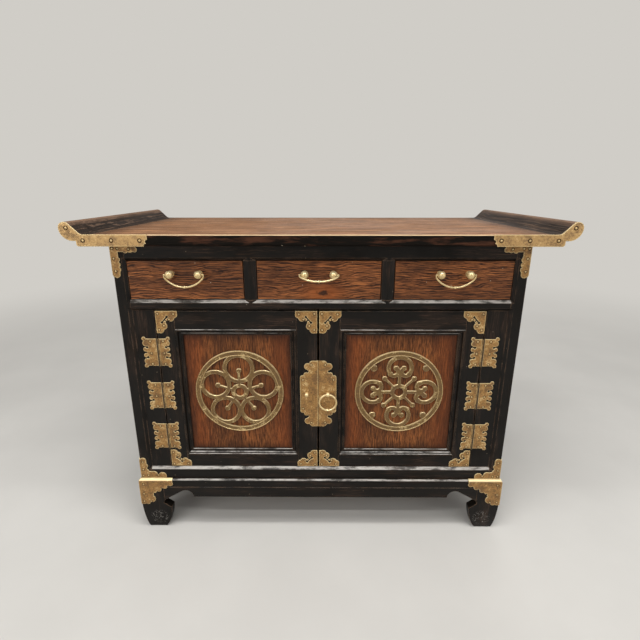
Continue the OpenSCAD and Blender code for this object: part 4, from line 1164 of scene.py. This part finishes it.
def seen_directly(g):
    """1 for rays from the camera or by way of metal and glass, and 0 for those that light things."""
    path = g.add("LightPath").outputs
    glossy = g.math("MAXIMUM", path["Is Glossy Ray"], path["Is Transmission Ray"])
    return g.math("MAXIMUM", path["Is Camera Ray"], glossy)


def ground_material(stage):
    """Pale floor that runs into what lies behind it, and keeps the shadow near the cabinet."""
    g = Finish("Pale_Floor", specular=0.2)
    place = g.coordinates()
    uneven = g.ramp(g.noise(place, 3.0, 4.0, 0.5), 0.3, 0.7, 0.97, 1.03)
    g.give("Base Color", g.shaded(stage.pale, uneven))
    g.give("Roughness", 0.75)
    far = g.add("Emission", {"Color": stage.pale}).outputs[0]
    fade = g.times(g.ramp(g.reach(place), *FLOOR_FADE), seen_directly(g))
    mixed = g.add("MixShader", {0: fade, 1: g.shader.outputs[0], 2: far}).outputs[0]
    g.feed(g.tree.nodes["Material Output"].inputs["Surface"], mixed)
    return g.material


def area_lamp(name, place, target, size, watts):
    """A wide lamp that points at a target."""
    lamp = bpy.data.lights.new(name, "AREA")
    lamp.shape = "RECTANGLE"
    lamp.size, lamp.size_y = size
    lamp.energy = watts
    turn = (Vector(target) - Vector(place)).to_track_quat("-Z", "Y").to_euler()
    in_scene(name, lamp, place, turn)


class CABINET_OT_stage(CabinetOperator):
    """Set up the floor, the lamps and the camera"""
    bl_idname = "cabinet.stage"
    bl_label = "Stage"

    def execute(self, context):
        scene = context.scene
        stage = scene.cabinet_stage
        bm = bmesh.new()
        bmesh.ops.create_circle(bm, cap_ends=True, segments=FLOOR_SIDES, radius=stage.floor_radius)
        meshed(bm, "Floor", [ground_material(stage)])
        world = bpy.data.worlds.new("Studio")
        world.use_nodes = True
        g = Graph(world.node_tree)
        background = world.node_tree.nodes["Background"].inputs
        g.feed(background["Strength"], g.ramp(seen_directly(g), 0.0, 1.0, stage.ambient, 1.0))
        g.feed(background["Color"], g.mix(seen_directly(g), WHITE, stage.pale))
        scene.world = world
        for name, place, target, size, setting, share in LAMPS:
            area_lamp(name, place, target, size, getattr(stage, setting) * share)
        camera = bpy.data.cameras.new("Camera")
        camera.lens = stage.lens
        camera.sensor_width = SENSOR_WIDTH
        scene.camera = in_scene("Camera", camera, stage.camera_place, stage.camera_turn)
        scene.view_settings.view_transform = "Standard"
        return {"FINISHED"}


OPERATORS = (
    CABINET_OT_top, CABINET_OT_case, CABINET_OT_sides, CABINET_OT_inside, CABINET_OT_stand,
    CABINET_OT_doors, CABINET_OT_drawers, CABINET_OT_plates, CABINET_OT_medallions,
    CABINET_OT_pulls, CABINET_OT_stage,
)


class CABINET_PT_panel(bpy.types.Panel):
    """The cabinet's settings and operators."""
    bl_idname = "CABINET_PT_panel"
    bl_label = "Chinese Cabinet"
    bl_space_type = "VIEW_3D"
    bl_region_type = "UI"
    bl_category = "Cabinet"

    def draw(self, context):
        for operator in OPERATORS:
            self.layout.operator(operator.bl_idname)
        for settings, group in SETTINGS.items():
            box = self.layout.box()
            box.label(text=group.__doc__)
            for name in group.__annotations__:
                box.prop(getattr(context.scene, settings), name)


SETTINGS = {"cabinet_wood": CabinetWood, "cabinet_brass": CabinetBrass, "cabinet_stage": CabinetStage}
CLASSES = (*SETTINGS.values(), *OPERATORS, CABINET_PT_panel)


def register():
    for entry in CLASSES:
        bpy.utils.register_class(entry)
    for settings, group in SETTINGS.items():
        setattr(bpy.types.Scene, settings, PointerProperty(type=group))


def unregister():
    for settings in SETTINGS:
        delattr(bpy.types.Scene, settings)
    for entry in reversed(CLASSES):
        bpy.utils.unregister_class(entry)


def main():
    register()
    bpy.ops.cabinet.top()
    bpy.ops.cabinet.case()
    bpy.ops.cabinet.sides()
    bpy.ops.cabinet.inside()
    bpy.ops.cabinet.stand()
    bpy.ops.cabinet.doors()
    bpy.ops.cabinet.drawers()
    bpy.ops.cabinet.plates()
    bpy.ops.cabinet.medallions()
    bpy.ops.cabinet.pulls()
    bpy.ops.cabinet.stage()


if __name__ == "__main__":
    main()
